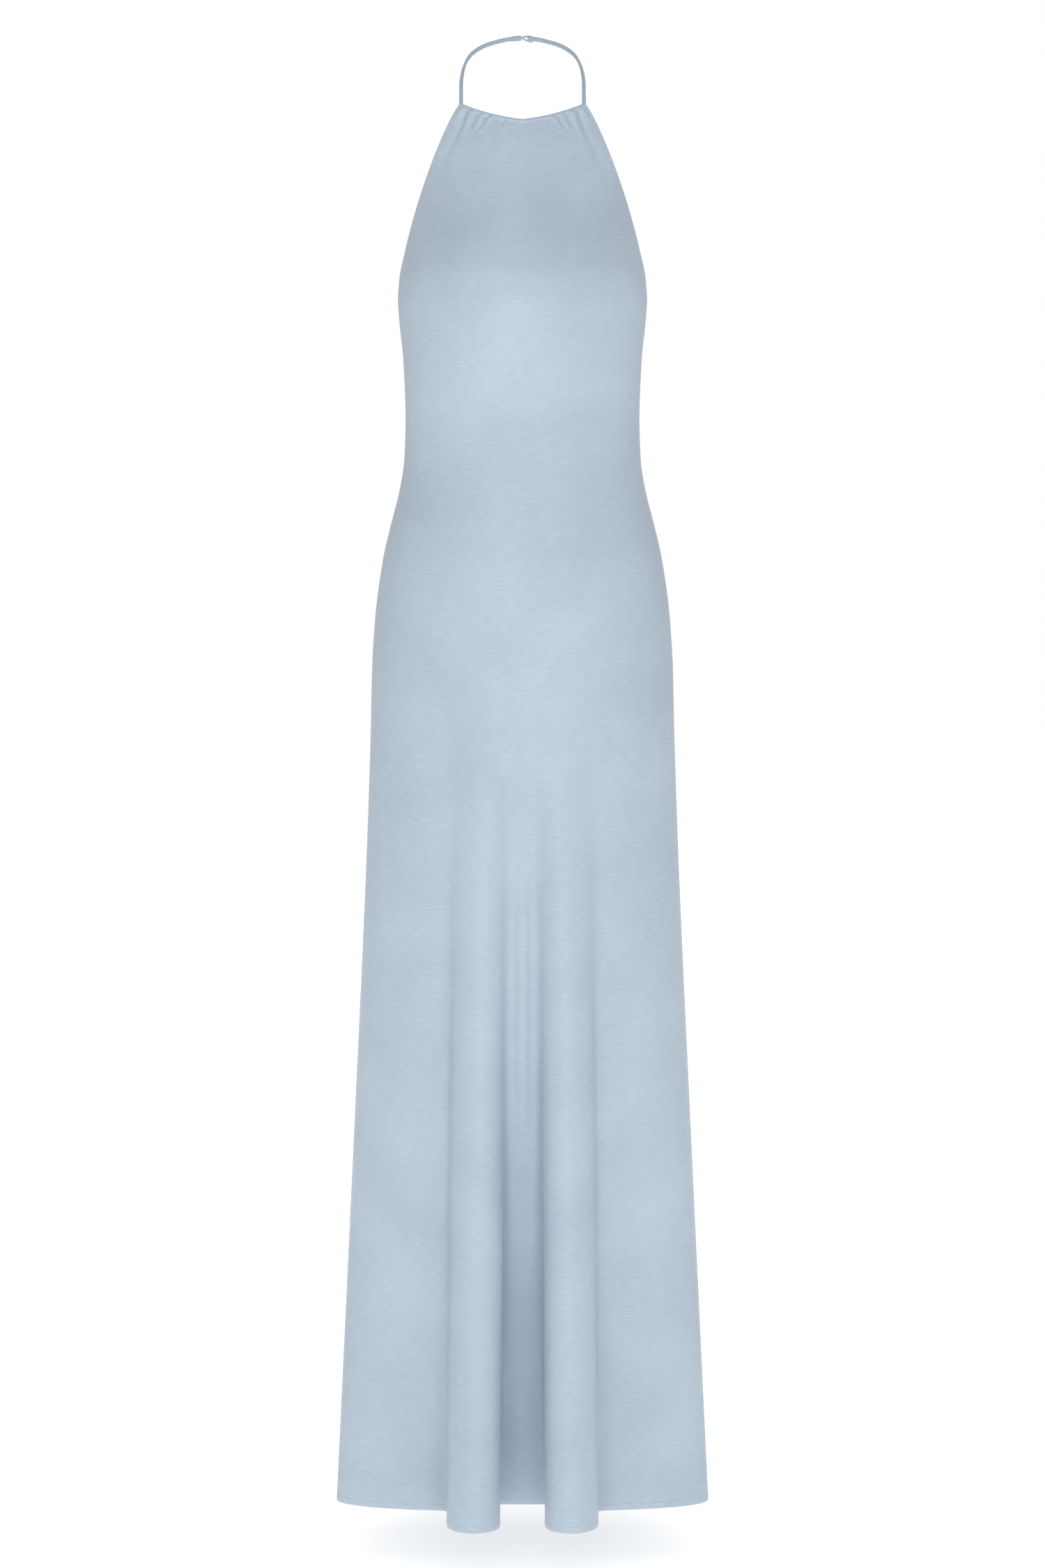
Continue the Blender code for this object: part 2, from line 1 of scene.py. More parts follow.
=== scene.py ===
"""Looks of a floor-length halter dress in pale blue satin, filled out as if worn.

The cloth pieces repeat the sizes that shape the solids and lie on them, with a finer surface:
turned edges, gathers, hem, seams and stitches. Units are metres, the front faces -Y, and the
origin is the inner face of the neck strap at the nape.
"""

import bpy
import numpy as np
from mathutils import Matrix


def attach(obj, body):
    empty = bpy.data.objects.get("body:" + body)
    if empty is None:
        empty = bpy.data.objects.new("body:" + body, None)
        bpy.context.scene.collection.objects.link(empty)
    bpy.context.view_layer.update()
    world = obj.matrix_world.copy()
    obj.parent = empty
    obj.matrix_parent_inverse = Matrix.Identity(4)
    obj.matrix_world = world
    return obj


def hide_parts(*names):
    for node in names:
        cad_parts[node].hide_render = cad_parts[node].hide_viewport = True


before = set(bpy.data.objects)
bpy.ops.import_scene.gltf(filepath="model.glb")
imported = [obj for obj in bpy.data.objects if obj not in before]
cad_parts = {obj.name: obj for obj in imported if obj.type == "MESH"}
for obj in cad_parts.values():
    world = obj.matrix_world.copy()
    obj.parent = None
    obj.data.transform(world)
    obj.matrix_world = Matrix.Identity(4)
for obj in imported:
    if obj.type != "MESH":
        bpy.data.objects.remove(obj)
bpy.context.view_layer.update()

# Sizes shared with the solids
SEAM_GAP = 0.0003         # space between pieces that are sewn to each other
MID_Y = -0.065            # plane through both side seams at the underarm
UNDERARM_Z = -0.259       # top of the side seams
NECK_CORNER_Z = -0.0775   # top edge of the front panel below the strap
NECK_DIP = 0.0168         # how much lower the same edge is at the centre
NECK_DIP_POWER = 1.35
NECK_DIP_END_Z = -0.257
BACK_SCOOP = 0.168        # drop of the open back from the side seams to the centre
BACK_SCOOP_POWER = 2.2
BACK_SCOOP_END_Z = -0.757
EVEN_ABOVE_Z = -0.437     # above this the columns of a panel are evenly spread
FOLDED_BELOW_Z = -0.687   # below this they follow the folds
HEM_Z = -1.5028
CASING_HEIGHT = 0.0052
CASING_THICKNESS = 0.0036
CASING_END_SHARE = 0.8
STRAP_WIDTH = 0.0042
STRAP_THICKNESS = 0.0028
TAB_BLEND = 0.0010
LEFT_TAB_FROM_X = 0.0168
LEFT_TAB_TO_X = 0.0052
LEFT_TAB_SIZE = (0.0047, 0.0032)
RIGHT_TAB_FROM_X = 0.0108
RIGHT_TAB_TO_X = 0.0010
RIGHT_TAB_SIZE = (0.0054, 0.0034)
BUTTON_X = 0.0082
BUTTON_RADIUS = 0.0033
SHANK_RADIUS = 0.0011
SHANK_LENGTH = 0.0026
LOOP_CORD = 0.0017
LOOP_FOOT_SPREAD = 0.0030
LOOP_EYE_SPREAD = 0.0051
LOOP_EYE_PAST_BUTTON = 0.0026
LOOP_ROUNDNESS = 0.7
FULLNESS = 0.75
SHORT_TURN = np.radians(60.0)
FULL_TURN = np.radians(90.0)
WALL_SHARE_OF_CREST = 0.3
SMALLEST_TURN = 1e-4
PROBE = 1e-4

# Columns: height, half width, side seam forward of the mid plane, front depth, back depth, turn
SECTIONS = (
    (-0.0670, 0.0581, 0.0490, 0.0590, 0.0800, 48.0),
    (-0.0875, 0.0706, 0.0475, 0.0630, 0.0820, 50.0),
    (-0.1078, 0.0804, 0.0450, 0.0690, 0.0850, 53.0),
    (-0.1349, 0.0917, 0.0390, 0.0765, 0.0880, 58.0),
    (-0.1622, 0.1016, 0.0330, 0.0850, 0.0900, 64.0),
    (-0.1896, 0.1103, 0.0250, 0.0950, 0.0930, 72.0),
    (-0.2170, 0.1176, 0.0160, 0.1040, 0.0950, 80.0),
    (-0.2447, 0.1236, 0.0070, 0.1095, 0.0955, 87.0),
    (-0.2655, 0.1253, 0.0000, 0.1100, 0.0950, 90.0),
    (-0.2865, 0.1240, 0.0000, 0.1075, 0.0925, 90.0),
    (-0.3285, 0.1199, 0.0000, 0.0990, 0.0865, 90.0),
    (-0.3847, 0.1180, 0.0000, 0.0880, 0.0785, 90.0),
    (-0.4269, 0.1195, 0.0000, 0.0890, 0.0765, 90.0),
    (-0.4552, 0.1239, 0.0000, 0.0920, 0.0800, 90.0),
    (-0.4976, 0.1346, 0.0000, 0.0970, 0.0880, 90.0),
    (-0.5259, 0.1411, 0.0000, 0.0995, 0.0950, 90.0),
    (-0.5827, 0.1492, 0.0000, 0.1020, 0.1070, 90.0),
    (-0.6397, 0.1530, 0.0000, 0.1025, 0.1130, 90.0),
    (-0.7039, 0.1546, 0.0010, 0.1015, 0.1150, 90.0),
    (-0.8113, 0.1585, 0.0040, 0.0985, 0.1150, 90.0),
    (-1.1002, 0.1725, 0.0100, 0.0840, 0.1150, 90.0),
    (-1.3927, 0.1873, 0.0170, 0.0705, 0.1150, 90.0),
    (-1.5028, 0.1929, 0.0200, 0.0670, 0.1150, 90.0),
)

FRONT_FOLD = {
    "side": -1.0, "start_z": -0.687, "crest_x": (0.0425, 0.0500), "half_width": (0.0240, 0.0268),
    "root": (0.0110, 0.0095), "turn": 96.0, "depth": 0.0768, "growth": 1.10,
    "recess": 0.0250, "recess_z": -0.977, "recess_growth": 1.2}
BACK_FOLD = {
    "side": 1.0, "start_z": -0.797, "crest_x": (0.0540, 0.0640), "half_width": (0.0280, 0.0310),
    "root": (0.0180, 0.0150), "turn": 84.0, "depth": 0.0480, "growth": 1.20,
    "recess": 0.0100, "recess_z": -0.997, "recess_growth": 1.2}

# Columns: distance from the centre, width, height, upper end, lower end
RIDGES = (
    (0.0000, 0.0075, 0.0040, -0.757, -1.187),
    (0.0188, 0.0035, 0.0016, -1.017, -1.417),
)

# Columns: x, forward of the mid plane, z, turn of the face from forward (0) to backward (180)
STRAP_PATH = (
    (0.0612, 0.0455, -0.0760, 28.0),
    (0.0611, 0.0449, -0.0712, 27.0),
    (0.0611, 0.0390, -0.0664, 26.0),
    (0.0613, 0.0185, -0.0514, 28.0),
    (0.0595, -0.0030, -0.0362, 42.0),
    (0.0570, -0.0135, -0.0285, 62.0),
    (0.0528, -0.0245, -0.0208, 92.0),
    (0.0441, -0.0385, -0.0129, 130.0),
    (0.0368, -0.0465, -0.0088, 146.0),
    (0.0255, -0.0555, -0.0047, 162.0),
    (0.0156, -0.0612, -0.0021, 171.0),
    (0.0000, -0.0664, 0.0000, 180.0),
)

# Gathers that leave the casing, drawn as creases. Each is a table with the columns height,
# distance from the centre, width, and rise above the cloth (a groove when negative)
GATHERS = (
    ((-0.0800, 0.0560, 0.0028, -0.0016), (-0.0938, 0.0603, 0.0034, -0.0018),
     (-0.1144, 0.0703, 0.0046, -0.0013), (-0.1264, 0.0766, 0.0060, -0.0008),
     (-0.1646, 0.0960, 0.0090, 0.0)),
    ((-0.0780, 0.0600, 0.0022, 0.0010), (-0.0860, 0.0650, 0.0024, 0.0008),
     (-0.0960, 0.0700, 0.0030, 0.0)),
    ((-0.0805, 0.0508, 0.0030, 0.0014), (-0.0900, 0.0545, 0.0036, 0.0012),
     (-0.1080, 0.0630, 0.0050, 0.0006), (-0.1350, 0.0740, 0.0080, 0.0)),
    ((-0.0815, 0.0452, 0.0020, -0.0012), (-0.0900, 0.0482, 0.0024, -0.0010),
     (-0.0985, 0.0522, 0.0030, -0.0005), (-0.1120, 0.0585, 0.0040, 0.0)),
    ((-0.0830, 0.0405, 0.0022, 0.0009), (-0.0920, 0.0432, 0.0026, 0.0007),
     (-0.1060, 0.0485, 0.0036, 0.0)),
    ((-0.0850, 0.0352, 0.0020, -0.0011), (-0.0930, 0.0400, 0.0024, -0.0010),
     (-0.1010, 0.0462, 0.0030, -0.0005), (-0.1130, 0.0545, 0.0040, 0.0)),
    ((-0.0850, 0.0308, 0.0022, 0.0010), (-0.0930, 0.0362, 0.0026, 0.0008),
     (-0.1040, 0.0440, 0.0034, 0.0)),
    ((-0.0870, 0.0262, 0.0018, -0.0006), (-0.0950, 0.0292, 0.0022, -0.0004),
     (-0.1040, 0.0320, 0.0030, 0.0)),
    ((-0.0880, 0.0190, 0.0018, -0.0007), (-0.0960, 0.0222, 0.0022, -0.0005),
     (-0.1060, 0.0250, 0.0030, 0.0)),
    ((-0.0890, 0.0150, 0.0018, 0.0005), (-0.0970, 0.0172, 0.0022, 0.0003),
     (-0.1050, 0.0190, 0.0028, 0.0)),
    ((-0.0895, 0.0098, 0.0014, -0.0005), (-0.0990, 0.0106, 0.0018, -0.0003),
     (-0.1090, 0.0112, 0.0026, 0.0)),
    ((-0.0895, 0.0040, 0.0014, -0.0005), (-0.1000, 0.0036, 0.0018, -0.0003),
     (-0.1100, 0.0030, 0.0026, 0.0)),
)

# Soft creases of the worn cloth, as tables with the columns height, x, width and rise
FRONT_CREASES = (
    ((-0.640, 0.048, 0.006, 0.0), (-0.690, 0.030, 0.010, 0.0012), (-0.735, 0.014, 0.009, 0.0)),
    ((-0.420, -0.035, 0.018, 0.0), (-0.520, -0.020, 0.030, 0.0016), (-0.620, -0.012, 0.030, 0.0)),
    ((-0.400, 0.070, 0.016, 0.0), (-0.500, 0.058, 0.026, 0.0012), (-0.600, 0.052, 0.030, 0.0)),
    ((-0.180, -0.050, 0.010, 0.0), (-0.230, -0.064, 0.014, 0.0009), (-0.290, -0.082, 0.014, 0.0)),
    ((-0.170, 0.056, 0.010, 0.0), (-0.240, 0.070, 0.016, 0.0008), (-0.310, 0.090, 0.014, 0.0)),
    ((-0.960, -0.118, 0.012, 0.0), (-1.140, -0.126, 0.020, 0.0016), (-1.400, -0.140, 0.022, 0.0)),
    ((-0.900, 0.122, 0.012, 0.0), (-1.100, 0.132, 0.018, 0.0014), (-1.330, 0.142, 0.022, 0.0)),
    ((-1.060, 0.104, 0.010, 0.0), (-1.250, 0.108, 0.016, -0.0014), (-1.480, 0.116, 0.018, 0.0)),
    ((-1.100, -0.020, 0.004, 0.0), (-1.220, -0.021, 0.005, 0.0012), (-1.400, -0.019, 0.005, 0.0)),
)
BACK_CREASES = (
    ((-0.440, 0.030, 0.014, 0.0), (-0.500, 0.020, 0.026, 0.0018), (-0.600, 0.014, 0.030, 0.0)),
    ((-0.440, -0.044, 0.014, 0.0), (-0.520, -0.030, 0.024, 0.0015), (-0.620, -0.026, 0.028, 0.0)),
    ((-0.340, 0.100, 0.010, 0.0), (-0.400, 0.080, 0.014, 0.0013), (-0.460, 0.066, 0.014, 0.0)),
    ((-0.350, -0.096, 0.010, 0.0), (-0.420, -0.078, 0.014, 0.0012), (-0.480, -0.060, 0.014, 0.0)),
    ((-0.760, 0.004, 0.010, 0.0), (-0.980, 0.008, 0.018, 0.0020), (-1.300, 0.004, 0.020, 0.0)),
    ((-0.900, -0.112, 0.012, 0.0), (-1.100, -0.122, 0.020, 0.0018), (-1.400, -0.134, 0.022, 0.0)),
    ((-0.940, 0.118, 0.012, 0.0), (-1.160, 0.128, 0.018, 0.0015), (-1.420, 0.140, 0.022, 0.0)),
)

# Finish of the cloth
CLOTH = 0.0008            # the shells are this thick, inside the solids' walls
EDGE_RADIUS = 0.0007      # how tightly an edge is turned under
SEAM_ALLOWANCE = 0.0050   # depth that is turned in at the side seams
HEM_DEPTH = 0.0065        # depth of the narrow turned hems
TUCK = 0.0030             # how far the gathered top runs up into the casing
NEST = 0.0080             # stretch beside a side seam over which a hem is pulled in
BEND_STEPS = 5            # steps of the mesh round a turned edge

STITCH_LENGTH = 0.0022
STITCH_PITCH = 0.0029
STITCH_WIDTH = 0.00034
HEM_STITCH_INSET = 0.0058
EDGE_STITCH_INSET = 0.0046

# Columns of half a fine panel, stretch by stretch as in the solids
FRONT_STEPS = (7, 5, 6, 11, 11, 7, 5, 30)
BACK_STEPS = (7, 5, 6, 8, 8, 5, 5, 29)
# Rows of the fine panels: how many lie above each level
FRONT_ROW_COUNT = ((NECK_CORNER_Z, 0), (-0.1100, 34), (-0.1800, 62), (-0.3000, 84),
                   (-0.7000, 138), (HEM_Z + 0.0120, 216), (HEM_Z + EDGE_RADIUS, 222))
BACK_ROW_COUNT = ((UNDERARM_Z - EDGE_RADIUS, 0), (-0.3000, 12), (-0.7000, 76),
                  (HEM_Z + 0.0120, 190), (HEM_Z + EDGE_RADIUS, 196))

ARMHOLE_BLEND = 0.012     # height over which the side seam's turning becomes the armhole's hem
STITCHES_START = 0.006    # the armhole's stitches begin this far above the underarm

# Mesh and relief of the narrow pieces. A squareness is the power on the sine and the cosine of
# their section: 1 is an ellipse, less is squarer
CASING_STEPS = 420
CASING_SIDES = 28
CASING_SQUARENESS = 0.80
CASING_END_RADIUS = 0.0012
PUCKER_PITCH = 0.0035     # from one gather of the casing to the next
PUCKER_DEPTH = 0.00012
PUCKER_END_DEPTH = 0.00030  # added to it towards the casing's ends
STRAP_RUN_STEPS = 230
TAB_STEPS = 60
STRAP_SIDES = 26
STRAP_SQUARENESS = 0.85
STRAP_END_RADIUS = 0.0010
STRAP_LINE_DEPTH = 0.00030
RIPPLE_RISE = 0.00006
RIPPLE_PITCH = 0.0062
LOOP_STEPS = 200
LOOP_SIDES = 16
CORD_GROOVE = 0.00005
CORD_TWISTS = 18.0        # half turns of the cord's two strands round the loop
BUTTON_RINGS = 34
BUTTON_SIDES = 48
BUTTON_PLEATS = 12.0
PLEAT_RISE = 0.028        # as a share of the ball's radius

# Colours and patterns of the satin and the thread, with lengths in metres
SATIN_DARK = "#a9b8c6"
SATIN_LIGHT = "#b7c5d2"
SATIN_ROUGHNESS = 0.42
BINDING_DARK = "#a4b4c3"
BINDING_LIGHT = "#b6c4d1"
BINDING_ROUGHNESS = 0.46
THREAD_DARK = "#9fb0c1"
THREAD_LIGHT = "#b1c0ce"
STREAK_WIDTH = 0.0016     # the streaks lie slantwise, as satin that is cut on the bias has them
STREAK_LENGTH = 0.0110
CLOUD_SIZE = 0.09
YARN = 0.0011             # real yarns are 0.1 mm apart, drawn coarser so that they show

CAMERA_DISTANCE = 4.0     # in front of the mid plane
CAMERA_Z = -0.3077
CAMERA_TILT = 6.42        # degrees below the horizon
FOCAL_LENGTH_MM = 90.24
SENSOR_MM = 36.0
FLOOR_Z = -1.56
FLOOR_HALF = 6.0
WORLD_ON_DRESS = 0.55     # the white world's strength on the dress; the camera sees it at 1
LIGHT_PLACE = (0.0, -3.4, -0.55)
LIGHT_TURN = (90.0, 0.0, 0.0)  # degrees
LIGHT_SIZE = (2.4, 2.6)
LIGHT_WATTS = 42.0


def smooth_columns(table, z):
    """Read every column of a table at z, on a monotone cubic through its rows.

    The slope at a row is the harmonic mean of the slopes on its two sides, or level where they
    differ in sign, and each stretch is the Hermite cubic of its end values and slopes.
    """
    rows = np.array(table)[::-1]
    knots = rows[:, 0]
    values = rows[:, 1:]
    span = np.diff(knots)[:, None]
    slope = np.diff(values, axis=0) / span
    before, after = slope[:-1], slope[1:]
    same_way = before * after > 0.0
    total = np.where(same_way, before + after, 1.0)
    inner = np.where(same_way, 2.0 * before * after / total, 0.0)
    tangent = np.vstack((slope[:1], inner, slope[-1:]))
    z = np.clip(z, knots[0], knots[-1])
    place = np.clip(np.searchsorted(knots, z, side="right") - 1, 0, len(knots) - 2)
    gap = span[place, 0]
    t = ((z - knots[place]) / gap)[..., None]
    gap = gap[..., None]
    return ((2 * t**3 - 3 * t**2 + 1) * values[place]
            + (t**3 - 2 * t**2 + t) * gap * tangent[place]
            + (3 * t**2 - 2 * t**3) * values[place + 1]
            + (t**3 - t**2) * gap * tangent[place + 1])


def ease(start, end, value):
    """0 at start, 1 at end, as 3t^2 - 2t^3 between them."""
    t = np.clip((value - start) / (end - start), 0.0, 1.0)
    return t * t * (3.0 - 2.0 * t)


def signed_power(value, power):
    """The power of a number's size, with the number's sign."""
    return np.sign(value) * np.abs(value) ** power


def unit(vectors):
    """The same directions, each of length 1."""
    length = np.linalg.norm(vectors, axis=-1, keepdims=True)
    return vectors / np.maximum(length, 1e-12)


def square_to(vectors, axis):
    """What is left of each vector when its part along the unit axis is taken out, at length 1."""
    return unit(vectors - axis * np.sum(vectors * axis, axis=-1, keepdims=True))


def level(z, side):
    """Half width, seam y, depth and turn of one panel at the heights z, from the mid plane."""
    columns = smooth_columns(SECTIONS, z)
    half_width, seam = columns[..., 0], -columns[..., 1]
    if side < 0:
        return half_width, seam, -columns[..., 2], np.radians(columns[..., 4])
    return half_width, seam, columns[..., 3], np.full_like(seam, 0.5 * np.pi)


def ring(angle, z, side):
    """Plain outline of a panel at height z.

    x is the half width times the sine of the angle. y runs from the seam to the full depth as a
    power of the cosine, rescaled to be 0 at the seam and 1 at the centre.
    """
    half_width, seam, depth, turn = level(z, side)
    rest = np.cos(turn)
    power = 1.0 - (1.0 - FULLNESS) * ease(SHORT_TURN, FULL_TURN, turn)
    share = signed_power((np.cos(angle) - rest) / (1.0 - rest), power)
    return half_width * np.sin(angle) / np.sin(turn), seam + (depth - seam) * share


def half_fold(place, height, half_width, root, turn):
    """One side of a deep fold, from its root (place 0) to its crest (place 3).

    The cloth turns through an angle on a small arc, runs straight, and turns back on a wide arc.
    The angle is twice the arc tangent of limit times tanh(height / (reach times limit)), so it
    nears its own limit as the fold deepens, and the straight takes up the rest of the height.
    """
    limit = np.tan(np.radians(turn) / 2.0)
    reach = half_width + root
    angle = 2.0 * np.arctan(limit * np.tanh(height / (reach * limit)))
    angle = np.maximum(angle, SMALLEST_TURN)
    sine, cosine = np.sin(angle), np.cos(angle)
    straight = np.maximum(height - reach * np.tan(angle / 2.0), 0.0) / sine
    small, wide = root / sine, half_width / sine
    first = small * angle
    last = wide * angle
    second = straight + WALL_SHARE_OF_CREST * last * np.exp(-straight / half_width)
    third = straight + last - second
    run = (first * np.clip(place, 0.0, 1.0) + second * np.clip(place - 1.0, 0.0, 1.0)
           + third * np.clip(place - 2.0, 0.0, 1.0))
    at_root = np.minimum(run / small, angle)
    on_wall = np.clip(run - first, 0.0, straight)
    at_crest = angle - np.clip(run - first - straight, 0.0, last) / wide
    along = small * np.sin(at_root) + on_wall * cosine + wide * (sine - np.sin(at_crest))
    out = (small * (1.0 - np.cos(at_root)) + on_wall * sine
           + wide * (np.cos(at_crest) - cosine))
    return along, out


def even_share(column, steps):
    """Share of the half panel at a column when all its steps are as wide as each other."""
    total = np.concatenate(([0.0], np.cumsum(steps)))
    return np.interp(column, np.arange(len(steps) + 1), total / total[-1])


def panel_point(column, z, fold, steps):
    """Middle of the cloth for x >= 0: column runs from 0 at the centre to 8 at the side seam.

    Columns 1 to 4 climb the inner side of the fold and 4 to 7 come down its outer side. The
    cloth between the two folds sinks back by the recess. Above the folds the columns spread
    evenly round the plain outline.
    """
    side = fold["side"]
    half_width, _, _, turn = level(z, side)
    down = np.clip((fold["start_z"] - z) / (fold["start_z"] - HEM_Z), 0.0, 1.0)
    low = np.clip((fold["recess_z"] - z) / (fold["recess_z"] - HEM_Z), 0.0, 1.0)
    height = fold["depth"] * down ** fold["growth"]
    recess = fold["recess"] * low ** fold["recess_growth"]
    crest_x = fold["crest_x"][0] + (fold["crest_x"][1] - fold["crest_x"][0]) * down
    crest = fold["half_width"][0] + (fold["half_width"][1] - fold["half_width"][0]) * down
    root = fold["root"][0] + (fold["root"][1] - fold["root"][0]) * down

    inner_along, inner_out = half_fold(column - 1.0, height + recess, crest, root, fold["turn"])
    outer_along, outer_out = half_fold(7.0 - column, height, crest, root, fold["turn"])
    inner_reach = half_fold(3.0 + 0.0 * column, height + recess, crest, root, fold["turn"])[0]
    outer_reach = half_fold(3.0 + 0.0 * column, height, crest, root, fold["turn"])[0]
    inner_x = crest_x - inner_reach
    outer_x = crest_x + outer_reach

    outer_angle = np.arcsin(np.clip(outer_x / half_width * np.sin(turn), -1.0, 1.0))
    side_angle = outer_angle + (turn - outer_angle) * (column - 7.0)
    x = np.where(column <= 1.0, inner_x * column, inner_x + inner_along)
    x = np.where(column > 4.0, outer_x - outer_along, x)
    fold_angle = np.arcsin(np.clip(x / half_width * np.sin(turn), -1.0, 1.0))
    fold_angle = np.where(column >= 7.0, side_angle, fold_angle)
    even_angle = even_share(column, steps) * turn
    beyond = np.maximum(column - 8.0, 0.0)
    even_angle = even_angle + turn * beyond * steps[-1] / sum(steps)
    angle = even_angle + (fold_angle - even_angle) * ease(EVEN_ABOVE_Z, FOLDED_BELOW_Z, z)
    x, y = ring(angle, z, side)

    out = np.where(column <= 4.0, inner_out - recess, outer_out)
    out = np.where(column <= 1.0, -recess, out)
    out = np.where(column >= 7.0, 0.0, out)
    if side < 0:
        for centre, width, rise, top, bottom in RIDGES:
            run = np.sin(np.pi * np.clip((top - z) / (top - bottom), 0.0, 1.0)) ** 2
            out = out + rise * run * np.exp(-((x - centre) / width) ** 2)
    return x, y + side * out


def crease_lift(table, x, z):
    """Rise of one crease: a bell curve across a line whose x, width and rise change with z."""
    line = smooth_columns(table, z)
    top, bottom = table[0][0], table[-1][0]
    fade = ease(bottom, bottom + 0.1 * (top - bottom), z)
    return line[..., 2] * fade * np.exp(-((x - line[..., 0]) / line[..., 1]) ** 2)


def front_lift(x, z):
    """Gathers on both sides, a little slacker and further in on the wearer's left, and creases."""
    lift = np.zeros_like(x)
    for gather in GATHERS:
        lift += crease_lift(gather, -x, z)
        lift += 0.85 * crease_lift(gather, 1.015 * x + 0.0004, z)
    for crease in FRONT_CREASES:
        lift += crease_lift(crease, x, z)
    return lift


def back_lift(x, z):
    """Creases of the back."""
    lift = np.zeros_like(x)
    for crease in BACK_CREASES:
        lift += crease_lift(crease, x, z)
    return lift


def panel_columns(steps):
    """Column values of a whole panel, from the right side seam through 0 to the left one."""
    half = np.concatenate([np.arange(count) / count + zone for zone, count in enumerate(steps)])
    half = np.append(half, float(len(steps)))
    return np.concatenate((-half[:0:-1], half))


def panel_heights(column, row_count, drop, power, end_z, turn, steps):
    """Height of each mesh point: the rows dip in the middle by drop and level out at end_z."""
    levels, counts = np.array(row_count).T
    rows = np.interp(np.arange(counts[-1] + 1), counts, levels)[:, None]
    angle = even_share(np.abs(column), steps) * turn
    share = np.minimum(np.sin(angle) / np.sin(turn), 1.0) ** power
    return rows - drop * (1.0 - share)[None, :] * (1.0 - ease(levels[0], end_z, rows))


def panel_middle(columns, heights, fold, steps, shift, lift):
    """Middle of the cloth on a grid: the solids' own surface, moved out along its normal by lift."""
    side = fold["side"]

    def point(column, z):
        x, y = panel_point(np.abs(column), z, fold, steps)
        return np.stack((np.sign(column) * x, y + MID_Y + shift, z), axis=-1)

    columns = np.broadcast_to(columns, heights.shape)
    middle = point(columns, heights)
    sideways = point(columns + PROBE, heights) - point(columns - PROBE, heights)
    downwards = point(columns, heights - PROBE) - point(columns, heights + PROBE)
    outward = unit(side * np.cross(sideways, downwards))
    return middle + outward * lift(middle[..., 0], heights)[..., None]


def grid_normals(points, side):
    """Outward direction at each point of a grid, square to its row and its column."""
    across = np.gradient(points, axis=1)
    down = np.gradient(points, axis=0)
    return unit(side * np.cross(across, down))


def turned(run, angle):
    """Where cloth is that has run past the start of an edge and turns under it by an angle.

    On the bend it goes round a circle of the edge's radius, and then straight on. Gives how far
    it is along, past the start, and how deep it is under the face.
    """
    bend = np.minimum(run, EDGE_RADIUS * angle)
    rest = run - bend
    along = EDGE_RADIUS * np.sin(bend / EDGE_RADIUS) + rest * np.cos(angle)
    depth = EDGE_RADIUS * (1.0 - np.cos(bend / EDGE_RADIUS)) + rest * np.sin(angle)
    return along, depth


def edge_runs(angle, flap):
    """Lengths past an edge at which the mesh has points: round the bend and along the flap."""
    bend = np.arange(1, BEND_STEPS + 1) / BEND_STEPS
    bend = EDGE_RADIUS * np.asarray(angle)[..., None] * bend
    return np.concatenate((bend, bend[..., -1:] + 0.5 * flap, bend[..., -1:] + flap), axis=-1)


def turn_edges(middle, side, top_run, top_angle, side_angle):
    """Add the turned edges to a panel's grid: top, hem and both sides.

    Each added point starts from the nearest point of the panel's edge. It goes along, out past
    that edge, and deep, against the outward direction. At a corner both turns add up, and the
    hem's layer is pulled in along the row by its own depth, so it lies inside the side's layer.
    """
    rows, columns = middle.shape[:2]
    hem_run = edge_runs(np.pi, HEM_DEPTH)
    side_run = edge_runs(side_angle, SEAM_ALLOWANCE)
    extra = side_run.shape[1]
    row = np.concatenate((np.zeros(len(top_run), int), np.arange(rows),
                          np.full(len(hem_run), rows - 1)))
    column = np.concatenate((np.zeros(extra, int), np.arange(columns),
                             np.full(extra, columns - 1)))
    top_along, top_deep = turned(top_run[::-1], top_angle)
    hem_along, hem_deep = turned(hem_run, np.pi)
    row_along = np.concatenate((-top_along, np.zeros(rows), hem_along))[:, None, None]
    row_deep = np.concatenate((top_deep, np.zeros(rows), hem_deep))[:, None, None]
    side_along, side_deep = turned(side_run, side_angle[:, None])
    still = np.zeros((rows, columns))
    column_along = np.hstack((-side_along[:, ::-1], still, side_along))[row][..., None]
    column_deep = np.hstack((side_deep[:, ::-1], still, side_deep))[row][..., None]

    grid = np.ix_(row, column)
    normal = grid_normals(middle, side)[grid]
    down = unit(np.gradient(middle, axis=0))[grid]
    across = square_to(unit(np.gradient(middle, axis=1))[grid], down)
    down = square_to(down, across)
    from_middle = cloth_lengths(middle)[0]
    half = np.where(from_middle < 0.0, -from_middle[:, :1], from_middle[:, -1:])
    near_side = np.sign(from_middle) * ease(NEST, 0.0, half - np.abs(from_middle))
    pulled_in = -row_deep * near_side[grid][..., None]
    return (middle[grid] + across * (column_along + pulled_in) + down * row_along
            - normal * (row_deep + column_deep))


def cloth_lengths(points):
    """Distance of each grid point along its row from the middle, and down its column."""
    steps = np.linalg.norm(np.diff(points, axis=1), axis=-1)
    across = np.hstack((np.zeros((len(points), 1)), np.cumsum(steps, axis=1)))
    across -= across[:, across.shape[1] // 2, None]
    steps = np.linalg.norm(np.diff(points, axis=0), axis=-1)
    down = np.vstack((np.zeros((1, points.shape[1])), np.cumsum(steps, axis=0)))
    return across, down


def grid_faces(rows, columns, first=0):
    """Corner numbers of the quads of a grid whose points are numbered row by row."""
    index = first + np.arange(rows * columns).reshape(rows, columns)
    quads = (index[:-1, :-1], index[1:, :-1], index[1:, 1:], index[:-1, 1:])
    return np.stack(quads, axis=-1).reshape(-1, 4)


